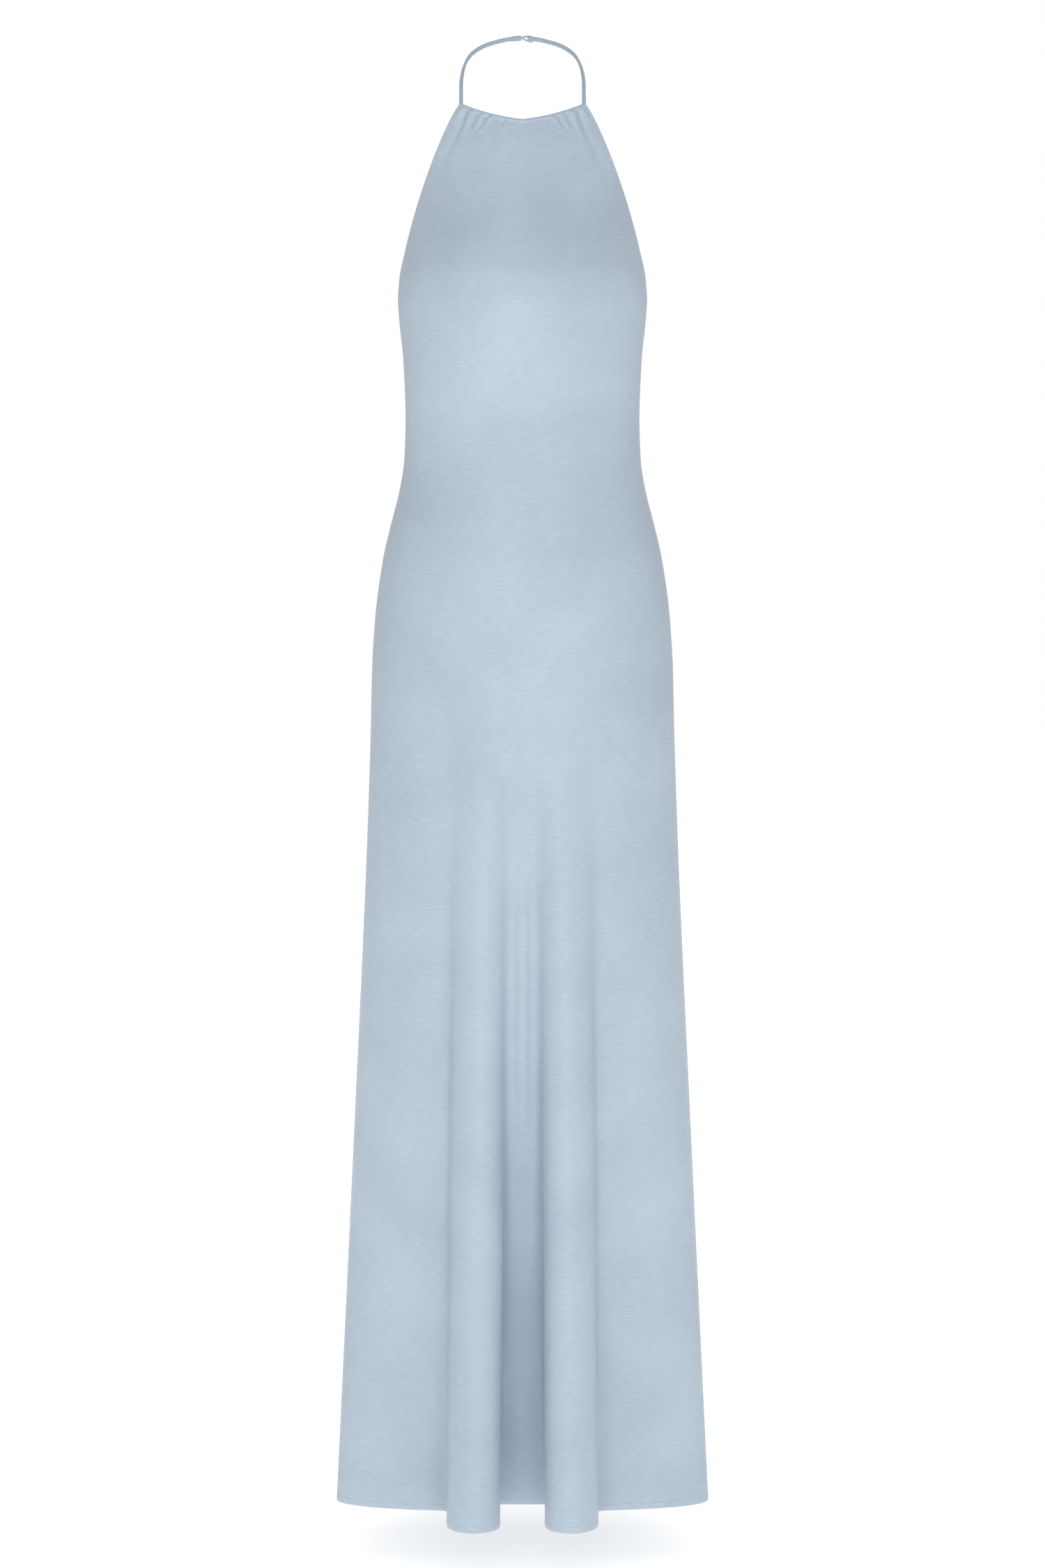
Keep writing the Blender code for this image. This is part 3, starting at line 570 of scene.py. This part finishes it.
def tube_faces(rings, sides, closed):
    """Quads of a tube of rings. An open tube's ends are closed by strips of quads across them."""
    index = np.arange(rings * sides).reshape(rings, sides)
    index = np.hstack((index, index[:, :1]))
    if closed:
        index = np.vstack((index, index[:1]))
    quads = (index[:-1, :-1], index[1:, :-1], index[1:, 1:], index[:-1, 1:])
    faces = np.stack(quads, axis=-1).reshape(-1, 4)
    if closed:
        return faces
    k = np.arange(sides // 2 - 1)
    cap = np.stack((k, k + 1, sides - 2 - k, sides - 1 - k), axis=-1)
    return np.concatenate((faces, cap, cap[:, ::-1] + (rings - 1) * sides))


def face_out(points, faces):
    """Turn all the faces of a closed piece round if they enclose a negative volume."""
    a, b, c, d = (points[faces[:, i]] for i in range(4))
    volume = np.sum(a * (np.cross(b, c) + np.cross(c, d)))
    return faces if volume > 0.0 else faces[:, ::-1]


def make_piece(name, points, faces, material, replaced=(), lengths=None):
    """Make a smooth closed piece of the dress from points and quads, and tie it to the body.

    lengths gives two numbers for each point, its place on the cloth in metres, for the UV map.
    """
    points = np.asarray(points, dtype=float).reshape(-1, 3)
    faces = face_out(points, np.asarray(faces))
    mesh = bpy.data.meshes.new(name)
    mesh.vertices.add(len(points))
    mesh.vertices.foreach_set("co", points.astype(np.float32).ravel())
    mesh.loops.add(faces.size)
    mesh.loops.foreach_set("vertex_index", faces.astype(np.int32).ravel())
    mesh.polygons.add(len(faces))
    mesh.polygons.foreach_set("loop_start", np.arange(0, faces.size, 4, dtype=np.int32))
    mesh.update(calc_edges=True)
    if lengths is not None:
        layer = mesh.uv_layers.new(name="cloth_metres")
        layer.uv.foreach_set("vector", lengths.astype(np.float32)[faces.ravel()].ravel())
    mesh.shade_smooth()
    mesh.materials.append(material)
    piece = bpy.data.objects.new(name, mesh)
    bpy.context.scene.collection.objects.link(piece)
    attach(piece, "root")
    if replaced:
        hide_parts(*replaced)
    return piece


def add_cloth(name, grid, side, material, replaced):
    """Close a grid into a shell: an outer face, an inner face and four narrow rims."""
    normal = grid_normals(grid, side)
    rows, columns = grid.shape[:2]
    points = np.concatenate(((grid + normal * (0.5 * CLOTH)).reshape(-1, 3),
                             (grid - normal * (0.5 * CLOTH)).reshape(-1, 3)))
    outer = grid_faces(rows, columns)
    inner = grid_faces(rows, columns, first=rows * columns)[:, ::-1]
    index = np.arange(rows * columns).reshape(rows, columns)
    rim = np.concatenate((index[0, :-1], index[:-1, -1], index[-1, :0:-1], index[:0:-1, 0]))
    after = np.roll(rim, -1)
    other = rows * columns
    rims = np.stack((rim, after, after + other, rim + other), axis=-1)
    lengths = np.stack(cloth_lengths(grid), axis=-1).reshape(-1, 2)
    return make_piece(name, points, np.concatenate((outer, inner, rims)), material,
                      replaced, np.concatenate((lengths, lengths)))


def front_panel():
    """Grid of the front panel's own surface and the same grid with its edges turned."""
    columns = panel_columns(FRONT_STEPS)
    turn = float(level(np.array(NECK_CORNER_Z), -1.0)[3])
    heights = panel_heights(columns, FRONT_ROW_COUNT, NECK_DIP, NECK_DIP_POWER, NECK_DIP_END_Z,
                            turn, FRONT_STEPS)
    shift = -(EDGE_RADIUS + 0.5 * SEAM_GAP)
    middle = panel_middle(columns, heights, FRONT_FOLD, FRONT_STEPS, shift, front_lift)
    armhole = ease(UNDERARM_Z, UNDERARM_Z + ARMHOLE_BLEND, heights[:, 0])
    side_angle = 0.5 * np.pi * (1.0 + armhole)
    return middle, turn_edges(middle, -1.0, np.array((0.5 * TUCK, TUCK)), 0.0, side_angle)


def back_panel():
    """The same two grids of the back panel, whose top edge is turned under too."""
    columns = panel_columns(BACK_STEPS)
    heights = panel_heights(columns, BACK_ROW_COUNT, BACK_SCOOP, BACK_SCOOP_POWER,
                            BACK_SCOOP_END_Z, 0.5 * np.pi, BACK_STEPS)
    shift = EDGE_RADIUS + 0.5 * SEAM_GAP
    middle = panel_middle(columns, heights, BACK_FOLD, BACK_STEPS, shift, back_lift)
    side_angle = np.full(len(heights), 0.5 * np.pi)
    return middle, turn_edges(middle, 1.0, edge_runs(np.pi, HEM_DEPTH), np.pi, side_angle)


def square_frame(path, outward, closed=False):
    """Directions across a band and out of it, both square to the path."""
    if closed:
        along = unit(np.roll(path, -1, axis=0) - np.roll(path, 1, axis=0))
    else:
        along = unit(np.gradient(path, axis=0))
    outward = square_to(outward, along)
    return np.cross(along, outward), outward


def add_band(name, path, across, outward, sizes, sides, squareness, relief, material,
             replaced, closed=False):
    """Carry a rounded section along a path.

    A point of the section is half the width times a power of the cosine of an angle across, and
    half the thickness times the same power of its sine outward. relief moves it in or out along
    the line from the path.
    """
    turn = 2.0 * np.pi * (np.arange(sides) + 0.5) / sides
    flat = 0.5 * sizes[:, None, 0] * signed_power(np.cos(turn), squareness)[None, :]
    thick = 0.5 * sizes[:, None, 1] * signed_power(np.sin(turn), squareness)[None, :]
    offset = across[:, None, :] * flat[..., None] + outward[:, None, :] * thick[..., None]
    offset = offset + unit(offset) * relief(turn[None, :])[..., None]
    points = path[:, None, :] + offset
    faces = tube_faces(len(path), sides, closed)
    steps = np.linalg.norm(np.diff(path, axis=0), axis=-1)
    along = np.concatenate(((0.0,), np.cumsum(steps)))[:, None] + 0.0 * turn[None, :]
    around = 0.25 * (sizes[:, :1] + sizes[:, 1:]) * turn[None, :]
    lengths = np.stack((around, along), axis=-1).reshape(-1, 2)
    return make_piece(name, points, faces, material, replaced, lengths)


def rounded_ends(sizes, path, radius):
    """Sizes of a band that closes to a round end at both ends of its path.

    Within the radius of an end they shrink as the height of a quarter circle does, to a tenth.
    """
    steps = np.linalg.norm(np.diff(path, axis=0), axis=-1)
    along = np.concatenate(((0.0,), np.cumsum(steps)))
    inside = 1.0 - np.clip(np.minimum(along, along[-1] - along) / radius, 0.0, 1.0)
    return sizes * np.sqrt(np.maximum(1.0 - inside**2, 0.01))[:, None]


def add_neck_binding(material):
    """The narrow casing that holds the gathered top of the front, with its small puckers.

    Its path is the top edge of the panel, raised by half its height. The puckers are the power
    of a sine of the length along it, whose phase wanders, and they are deepest near the ends.
    """
    share = np.linspace(-1.0, 1.0, CASING_STEPS + 1)
    turn = float(level(np.array(NECK_CORNER_Z), -1.0)[3])
    rise = (np.abs(np.sin(share * turn)) / np.sin(turn)) ** NECK_DIP_POWER
    centre = NECK_CORNER_Z - NECK_DIP * (1.0 - rise) + SEAM_GAP + 0.5 * CASING_HEIGHT
    x, y = ring(np.abs(share) * level(centre, -1.0)[3], centre, -1.0)
    path = np.stack((np.sign(share) * x, y + MID_Y, centre), axis=1)
    across, outward = square_frame(path, np.stack((0.0 * x, -1.0 + 0.0 * x, 0.0 * x), axis=1))
    sizes = np.tile((CASING_HEIGHT, CASING_THICKNESS), (len(path), 1))
    sizes[:, 0] *= 1.0 - (1.0 - CASING_END_SHARE) * ease(0.95, 1.0, np.abs(share))
    steps = np.linalg.norm(np.diff(path, axis=0), axis=-1)
    along = np.concatenate(((0.0,), np.cumsum(steps)))

    def puckers(angle):
        phase = (2.0 * np.pi * along / PUCKER_PITCH + 1.3 * np.sin(along * 170.0)
                 + 0.8 * np.sin(along * 411.0 + 1.0))
        fold = np.sin(0.5 * phase) ** 6
        depth = PUCKER_DEPTH + PUCKER_END_DEPTH * ease(0.35, 0.95, np.abs(share))
        lean = 0.4 + 0.6 * np.clip(np.cos(angle), 0.0, 1.0)
        return -(fold * depth)[:, None] * lean

    sizes = rounded_ends(sizes, path, CASING_END_RADIUS)
    return add_band("neck_binding", path, across, outward, sizes, CASING_SIDES,
                    CASING_SQUARENESS, puckers, material, ("neck_casing",))


def strap_curve(share):
    """Points and face directions of the strap on the wearer's left, from casing to nape."""
    knots = np.linspace(1.0, 0.0, len(STRAP_PATH))
    table = [(knot, *row) for knot, row in zip(knots, reversed(STRAP_PATH))]
    values = smooth_columns(table, share)
    turn = np.radians(values[:, 3])
    points = np.stack((values[:, 0], MID_Y - values[:, 1], values[:, 2]), axis=1)
    facing = np.stack((np.sin(turn), -np.cos(turn), 0.0 * turn), axis=1)
    return points, facing


def strap_share(x):
    """Where along its upper half the strap reaches the distance x from the centre."""
    upper = np.linspace(0.5, 1.0, 1001)
    upper_x = strap_curve(upper)[0][:, 0]
    return np.interp(x, upper_x[::-1], upper[::-1])


def nape_point(x, offset, rise):
    """A point of the closure: offset is out from the middle of the strap, rise is up from it."""
    points, facing = strap_curve(strap_share(np.abs(x)))
    mirror = np.stack((np.where(x < 0.0, -1.0, 1.0), 1.0 + 0.0 * x, 1.0 + 0.0 * x), axis=1)
    outward = facing * mirror
    up = np.array((0.0, 0.0, 1.0))[None, :]
    return points * mirror + outward * offset[:, None] + up * rise[:, None], outward


def add_strap(name, hand, tab_from, tab_to, tab_size, material, replaced):
    """A neck strap turned from a bias strip, with its doubled end.

    Its section is an oval. A shallow line runs down the outer third of its face, where the strip
    folds over its own turnings, soft ripples cross it slantwise, and the doubled end is wider,
    with a line round it between its two layers.
    """
    run = np.linspace(0.0, strap_share(tab_from + TAB_BLEND), STRAP_RUN_STEPS)
    tab = strap_share(np.linspace(tab_from, tab_to, TAB_STEPS))
    points, facing = strap_curve(np.concatenate((run, tab)))
    mirror = np.array((hand, 1.0, 1.0))
    path = points * mirror
    across, outward = square_frame(path, facing * mirror)
    across = across * hand
    sizes = np.array([(STRAP_WIDTH, STRAP_THICKNESS)] * STRAP_RUN_STEPS + [tab_size] * TAB_STEPS)
    sizes = rounded_ends(sizes, path, STRAP_END_RADIUS)
    steps = np.linalg.norm(np.diff(path, axis=0), axis=-1)
    along = np.concatenate(((0.0,), np.cumsum(steps)))[:, None]
    doubled = (np.arange(len(path)) >= STRAP_RUN_STEPS)[:, None]

    def strap_relief(angle):
        flat = np.cos(angle)
        front = ease(0.0, 0.4, np.sin(angle))
        line = -STRAP_LINE_DEPTH * front * np.exp(-((flat - 0.42) / 0.10) ** 2)
        ripple = RIPPLE_RISE * np.sin(2.0 * np.pi * (along / RIPPLE_PITCH + 0.22 * flat)
                                  + 1.7 * np.sin(along * 95.0))
        layer = -STRAP_LINE_DEPTH * np.exp(-(np.sin(angle) / 0.16) ** 2)
        return np.where(doubled, layer, line) + ripple

    return add_band(name, path, across, outward, sizes, STRAP_SIDES, STRAP_SQUARENESS,
                    strap_relief, material, replaced)


def add_button_loop(material):
    """A closed ring of cord, beside the end of one strap and round the button's shank."""
    turn = 2.0 * np.pi * np.arange(LOOP_STEPS) / LOOP_STEPS
    low_x = SEAM_GAP + 0.5 * LOOP_CORD - RIGHT_TAB_TO_X
    high_x = BUTTON_X + LOOP_EYE_PAST_BUTTON
    x = 0.5 * (low_x + high_x) - 0.5 * (high_x - low_x) * np.cos(turn)
    spread = LOOP_FOOT_SPREAD + (LOOP_EYE_SPREAD - LOOP_FOOT_SPREAD) * ease(0.0, BUTTON_X, x)
    rise = 0.5 * spread * signed_power(np.sin(turn), LOOP_ROUNDNESS)
    clear_of_tab = 0.5 * LEFT_TAB_SIZE[1] + SEAM_GAP + 0.5 * LOOP_CORD
    offset = clear_of_tab * ease(0.0, LEFT_TAB_TO_X - LOOP_CORD, x)
    path, outward = nape_point(x, offset, rise)
    across, outward = square_frame(path, outward, closed=True)
    sizes = np.full((LOOP_STEPS, 2), LOOP_CORD)

    def twist(angle):
        return CORD_GROOVE * np.sin(2.0 * angle + CORD_TWISTS * turn[:, None])

    return add_band("cord_loop", path, across, outward, sizes, LOOP_SIDES, 1.0, twist, material,
                    ("button_loop",), closed=True)


def add_button(material):
    """A ball covered in satin on a short shank, turned about the line out from the strap's tab.

    The cover is drawn together behind: low pleats, a cosine round the ball, fade towards the
    middle of its front.
    """
    foot = 0.5 * LEFT_TAB_SIZE[1] + SEAM_GAP
    mouth = np.arcsin(SHANK_RADIUS / BUTTON_RADIUS)
    angle = np.linspace(mouth, np.pi - 0.02, BUTTON_RINGS)
    ball_at = foot + SHANK_LENGTH + BUTTON_RADIUS * np.cos(mouth)
    radius = np.concatenate((np.full(3, SHANK_RADIUS), BUTTON_RADIUS * np.sin(angle[1:])))
    neck = foot + SHANK_LENGTH * np.array((0.0, 0.5, 1.0))
    height = np.concatenate((neck, ball_at - BUTTON_RADIUS * np.cos(angle[1:])))
    base, outward = nape_point(np.array((BUTTON_X,)), np.zeros(1), np.zeros(1))
    sideways = np.cross(outward[0], (0.0, 0.0, 1.0))
    turn = 2.0 * np.pi * np.arange(BUTTON_SIDES) / BUTTON_SIDES
    behind = np.concatenate((np.zeros(3), 1.0 - ease(0.6, 2.3, angle[1:])))
    wave = np.cos(BUTTON_PLEATS * turn + 0.6 * np.sin(2.0 * turn))
    pleats = 1.0 + PLEAT_RISE * behind[:, None] * wave
    circle = (sideways[None, :] * np.cos(turn)[:, None]
              + np.array((0.0, 0.0, 1.0))[None, :] * np.sin(turn)[:, None])
    points = (base[0] + outward[0] * height[:, None, None]
              + circle[None] * (radius[:, None] * pleats)[..., None])
    lengths = np.stack((np.broadcast_to(turn * BUTTON_RADIUS, points.shape[:2]),
                        np.broadcast_to(height[:, None], points.shape[:2])), axis=-1)
    return make_piece("covered_ball", points, tube_faces(len(height), BUTTON_SIDES, False), material,
                      ("button",), lengths.reshape(-1, 2))


def inset_line(grid, normal, distance):
    """Line on a grid at a distance from its first column, measured over the cloth.

    It is the first column plus each step of a row, taken as far as the distance reaches into it.
    """
    step = np.diff(grid, axis=1)
    length = np.linalg.norm(step, axis=-1)
    start = np.cumsum(length, axis=1) - length
    share = np.clip((distance - start) / length, 0.0, 1.0)[..., None]
    line = grid[:, 0] + np.sum(step * share, axis=1)
    facing = unit(normal[:, 0] + np.sum(np.diff(normal, axis=1) * share, axis=1))
    return line + facing * (0.5 * CLOTH), facing


def add_stitches(name, lines, material):
    """Rows of stitches: each is a grain of thread, thick in the middle and pulled down at its ends.

    A line is walked at the pitch of the stitches. Round a stitch the thread's radius is the
    square root of 1 - t^2, with t from -1 to 1 along it, and its axis drops by t^4.
    """
    share = np.array((-0.96, -0.7, -0.25, 0.25, 0.7, 0.96))
    turn = 2.0 * np.pi * np.arange(6) / 6.0
    radius = 0.5 * STITCH_WIDTH * np.sqrt(1.0 - share**2)
    drop = 0.25 * STITCH_WIDTH * (1.0 - 2.0 * share**4)
    faces = tube_faces(len(share), len(turn), False)
    all_points, all_faces = [], []
    for line, facing in lines:
        length = np.concatenate(((0.0,), np.cumsum(np.linalg.norm(np.diff(line, axis=0), axis=-1))))
        at = np.arange(STITCH_PITCH, length[-1] - STITCH_PITCH, STITCH_PITCH)
        centre = np.stack([np.interp(at, length, line[:, i]) for i in range(3)], axis=-1)
        out = unit(np.stack([np.interp(at, length, facing[:, i]) for i in range(3)], axis=-1))
        along = square_to(np.gradient(centre, axis=0), out)
        beside = np.cross(out, along)
        points = (centre[:, None, None, :]
                  + along[:, None, None, :] * (0.5 * STITCH_LENGTH * share)[None, :, None, None]
                  + out[:, None, None, :] * drop[None, :, None, None]
                  + beside[:, None, None, :] * (radius[:, None] * np.cos(turn))[None, ..., None]
                  + out[:, None, None, :] * (radius[:, None] * np.sin(turn))[None, ..., None])
        count = len(share) * len(turn)
        first = count * (np.arange(len(centre)) + sum(len(p) for p in all_points))
        all_points.append(points.reshape(len(centre), count, 3))
        all_faces.append((faces[None] + first[:, None, None]).reshape(-1, 4))
    points = np.concatenate(all_points).reshape(-1, 3)
    return make_piece(name, points, np.concatenate(all_faces), material)


def linear(hex_colour):
    """Linear red, green and blue, with alpha 1, of a hex sRGB colour."""
    share = np.array([int(hex_colour[i:i + 2], 16) for i in (1, 3, 5)]) / 255.0
    value = np.where(share <= 0.04045, share / 12.92, ((share + 0.055) / 1.055) ** 2.4)
    return (*value.tolist(), 1.0)


def add_node(tree, kind, values=None, links=None, **settings):
    """Add a node: settings are its own properties, values its sockets, links what feeds them."""
    node = tree.nodes.new(kind)
    for name, value in settings.items():
        setattr(node, name, value)
    for socket, value in (values or {}).items():
        node.inputs[socket].default_value = value
    for socket, source in (links or {}).items():
        tree.links.new(source, node.inputs[socket])
    return node


def new_material(name):
    """An empty material with its output and its Principled shader."""
    material = bpy.data.materials.new(name)
    material.use_nodes = True
    tree = material.node_tree
    tree.nodes.clear()
    shader = add_node(tree, "ShaderNodeBsdfPrincipled")
    add_node(tree, "ShaderNodeOutputMaterial", links={"Surface": shader.outputs["BSDF"]})
    return material, tree, shader


def satin_material(name, dark, light, roughness):
    """Polyester satin, woven smooth and soft: a matt glow with faint slanted streaks."""
    material, tree, shader = new_material(name)
    place = add_node(tree, "ShaderNodeUVMap", uv_map="cloth_metres")
    streaks = []
    for turn in (45.0, -45.0):
        lie = add_node(tree, "ShaderNodeMapping", links={"Vector": place.outputs["UV"]},
                       values={"Rotation": (0.0, 0.0, np.radians(turn)),
                               "Scale": (1.0 / STREAK_LENGTH, 1.0 / STREAK_WIDTH, 1.0)},
                       vector_type="POINT")
        streaks.append(add_node(tree, "ShaderNodeTexNoise", noise_dimensions="2D",
                                values={"Scale": 1.0, "Detail": 3.0, "Roughness": 0.55},
                                links={"Vector": lie.outputs["Vector"]}))
    both = add_node(tree, "ShaderNodeMath", operation="ADD",
                    links={0: streaks[0].outputs["Fac"], 1: streaks[1].outputs["Fac"]})
    cloud = add_node(tree, "ShaderNodeTexNoise", noise_dimensions="2D",
                     values={"Scale": 1.0 / CLOUD_SIZE, "Detail": 2.0},
                     links={"Vector": place.outputs["UV"]})
    mixed = add_node(tree, "ShaderNodeMath", operation="ADD",
                     links={0: both.outputs[0], 1: cloud.outputs["Fac"]})
    shade = add_node(tree, "ShaderNodeMapRange", links={"Value": mixed.outputs[0]},
                     values={"From Min": 1.05, "From Max": 1.95})
    colour = add_node(tree, "ShaderNodeMix", data_type="RGBA",
                      links={"Factor": shade.outputs["Result"]})
    colour.inputs[6].default_value = linear(dark)
    colour.inputs[7].default_value = linear(light)
    gloss = add_node(tree, "ShaderNodeMapRange", links={"Value": both.outputs[0]},
                     values={"From Min": 0.7, "From Max": 1.3,
                             "To Min": roughness + 0.05, "To Max": roughness - 0.05})
    yarns = add_node(tree, "ShaderNodeTexWave", bands_direction="DIAGONAL",
                     values={"Scale": 0.314 / YARN, "Distortion": 2.0},
                     links={"Vector": place.outputs["UV"]})
    height = add_node(tree, "ShaderNodeMath", operation="MULTIPLY_ADD",
                      values={1: 0.15}, links={0: yarns.outputs["Fac"], 2: both.outputs[0]})
    bump = add_node(tree, "ShaderNodeBump", values={"Strength": 0.35, "Distance": 0.0002},
                    links={"Height": height.outputs[0]})
    tree.links.new(colour.outputs[2], shader.inputs["Base Color"])
    tree.links.new(gloss.outputs["Result"], shader.inputs["Roughness"])
    tree.links.new(bump.outputs["Normal"], shader.inputs["Normal"])
    shader.inputs["Specular IOR Level"].default_value = 0.35
    shader.inputs["Sheen Weight"].default_value = 0.12
    shader.inputs["Sheen Roughness"].default_value = 0.45
    return material


def thread_material():
    """Spun polyester thread, a tone darker than the satin and matt."""
    material, tree, shader = new_material("spun_thread")
    place = add_node(tree, "ShaderNodeTexCoord")
    fluff = add_node(tree, "ShaderNodeTexNoise", values={"Scale": 900.0},
                     links={"Vector": place.outputs["Object"]})
    colour = add_node(tree, "ShaderNodeMix", data_type="RGBA",
                      links={"Factor": fluff.outputs["Fac"]})
    colour.inputs[6].default_value = linear(THREAD_DARK)
    colour.inputs[7].default_value = linear(THREAD_LIGHT)
    tree.links.new(colour.outputs[2], shader.inputs["Base Color"])
    shader.inputs["Roughness"].default_value = 0.7
    return material


def add_camera():
    """The photograph's view: level with the upper body, tilted down a little."""
    data = bpy.data.cameras.new("camera")
    data.sensor_fit = "VERTICAL"
    data.sensor_height = SENSOR_MM
    data.lens = FOCAL_LENGTH_MM
    camera = bpy.data.objects.new("camera", data)
    camera.location = (0.0, MID_Y - CAMERA_DISTANCE, CAMERA_Z)
    camera.rotation_euler = (np.radians(90.0 - CAMERA_TILT), 0.0, 0.0)
    bpy.context.scene.collection.objects.link(camera)
    bpy.context.scene.camera = camera


def add_area_light(name, place, turn, size, watts):
    """A rectangular soft light that faces along its own -Z after the turn."""
    data = bpy.data.lights.new(name, "AREA")
    data.shape = "RECTANGLE"
    data.size, data.size_y = size
    data.energy = watts
    light = bpy.data.objects.new(name, data)
    light.location = place
    light.rotation_euler = np.radians(turn)
    bpy.context.scene.collection.objects.link(light)


def add_studio():
    """White surroundings: a pale floor, a soft world and one wide light in front."""
    scene = bpy.context.scene
    scene.view_settings.view_transform = "Standard"
    world = bpy.data.worlds.new("studio")
    scene.world = world
    world.use_nodes = True
    tree = world.node_tree
    tree.nodes.clear()
    path = add_node(tree, "ShaderNodeLightPath")
    strength = add_node(tree, "ShaderNodeMapRange",
                        links={"Value": path.outputs["Is Camera Ray"]},
                        values={"To Min": WORLD_ON_DRESS, "To Max": 1.0})
    sky = add_node(tree, "ShaderNodeBackground", values={"Color": (1.0, 1.0, 1.0, 1.0)},
                   links={"Strength": strength.outputs["Result"]})
    add_node(tree, "ShaderNodeOutputWorld", links={"Surface": sky.outputs["Background"]})

    corners = np.array(((-1, -1), (1, -1), (1, 1), (-1, 1))) * FLOOR_HALF
    mesh = bpy.data.meshes.new("floor")
    mesh.from_pydata([(x, y, FLOOR_Z) for x, y in corners], [], [(0, 1, 2, 3)])
    floor = bpy.data.objects.new("floor", mesh)
    scene.collection.objects.link(floor)
    material, tree, shader = new_material("pale_floor")
    shader.inputs["Base Color"].default_value = linear("#f4f4f4")
    shader.inputs["Roughness"].default_value = 0.9
    shader.inputs["Emission Color"].default_value = (1.0, 1.0, 1.0, 1.0)
    shader.inputs["Emission Strength"].default_value = 0.6
    mesh.materials.append(material)
    add_area_light("front_light", LIGHT_PLACE, LIGHT_TURN, LIGHT_SIZE, LIGHT_WATTS)


def build():
    """Make every piece of the dress, then the camera and the studio."""
    satin = satin_material("polyester_satin", SATIN_DARK, SATIN_LIGHT, SATIN_ROUGHNESS)
    binding = satin_material("bias_cut_satin", BINDING_DARK, BINDING_LIGHT, BINDING_ROUGHNESS)
    thread = thread_material()

    front_middle, front_grid = front_panel()
    back_middle, back_grid = back_panel()
    front = add_cloth("front_cloth", front_grid, -1.0, satin, ("front_panel",))
    back = add_cloth("back_cloth", back_grid, 1.0, satin, ("back_panel",))
    neck = add_neck_binding(binding)
    left = add_strap("strap_with_button", 1.0, LEFT_TAB_FROM_X, LEFT_TAB_TO_X, LEFT_TAB_SIZE,
                     binding, ("strap_left",))
    right = add_strap("strap_with_loop", -1.0, RIGHT_TAB_FROM_X, RIGHT_TAB_TO_X, RIGHT_TAB_SIZE,
                      binding, ("strap_right",))
    loop = add_button_loop(binding)
    ball = add_button(binding)

    front_normal = grid_normals(front_middle, -1.0)
    back_normal = grid_normals(back_middle, 1.0)
    above = front_middle[:, 0, 2] > UNDERARM_Z + STITCHES_START
    front_lines = [
        inset_line(front_middle[::-1].transpose(1, 0, 2), front_normal[::-1].transpose(1, 0, 2),
                   HEM_STITCH_INSET),
        inset_line(front_middle[above], front_normal[above], EDGE_STITCH_INSET),
        inset_line(front_middle[above][:, ::-1], front_normal[above][:, ::-1], EDGE_STITCH_INSET)]
    back_lines = [
        inset_line(back_middle[::-1].transpose(1, 0, 2), back_normal[::-1].transpose(1, 0, 2),
                   HEM_STITCH_INSET),
        inset_line(back_middle.transpose(1, 0, 2), back_normal.transpose(1, 0, 2),
                   EDGE_STITCH_INSET)]
    front_stitches = add_stitches("front_stitches", front_lines, thread)
    back_stitches = add_stitches("back_stitches", back_lines, thread)

    add_camera()
    add_studio()


build()
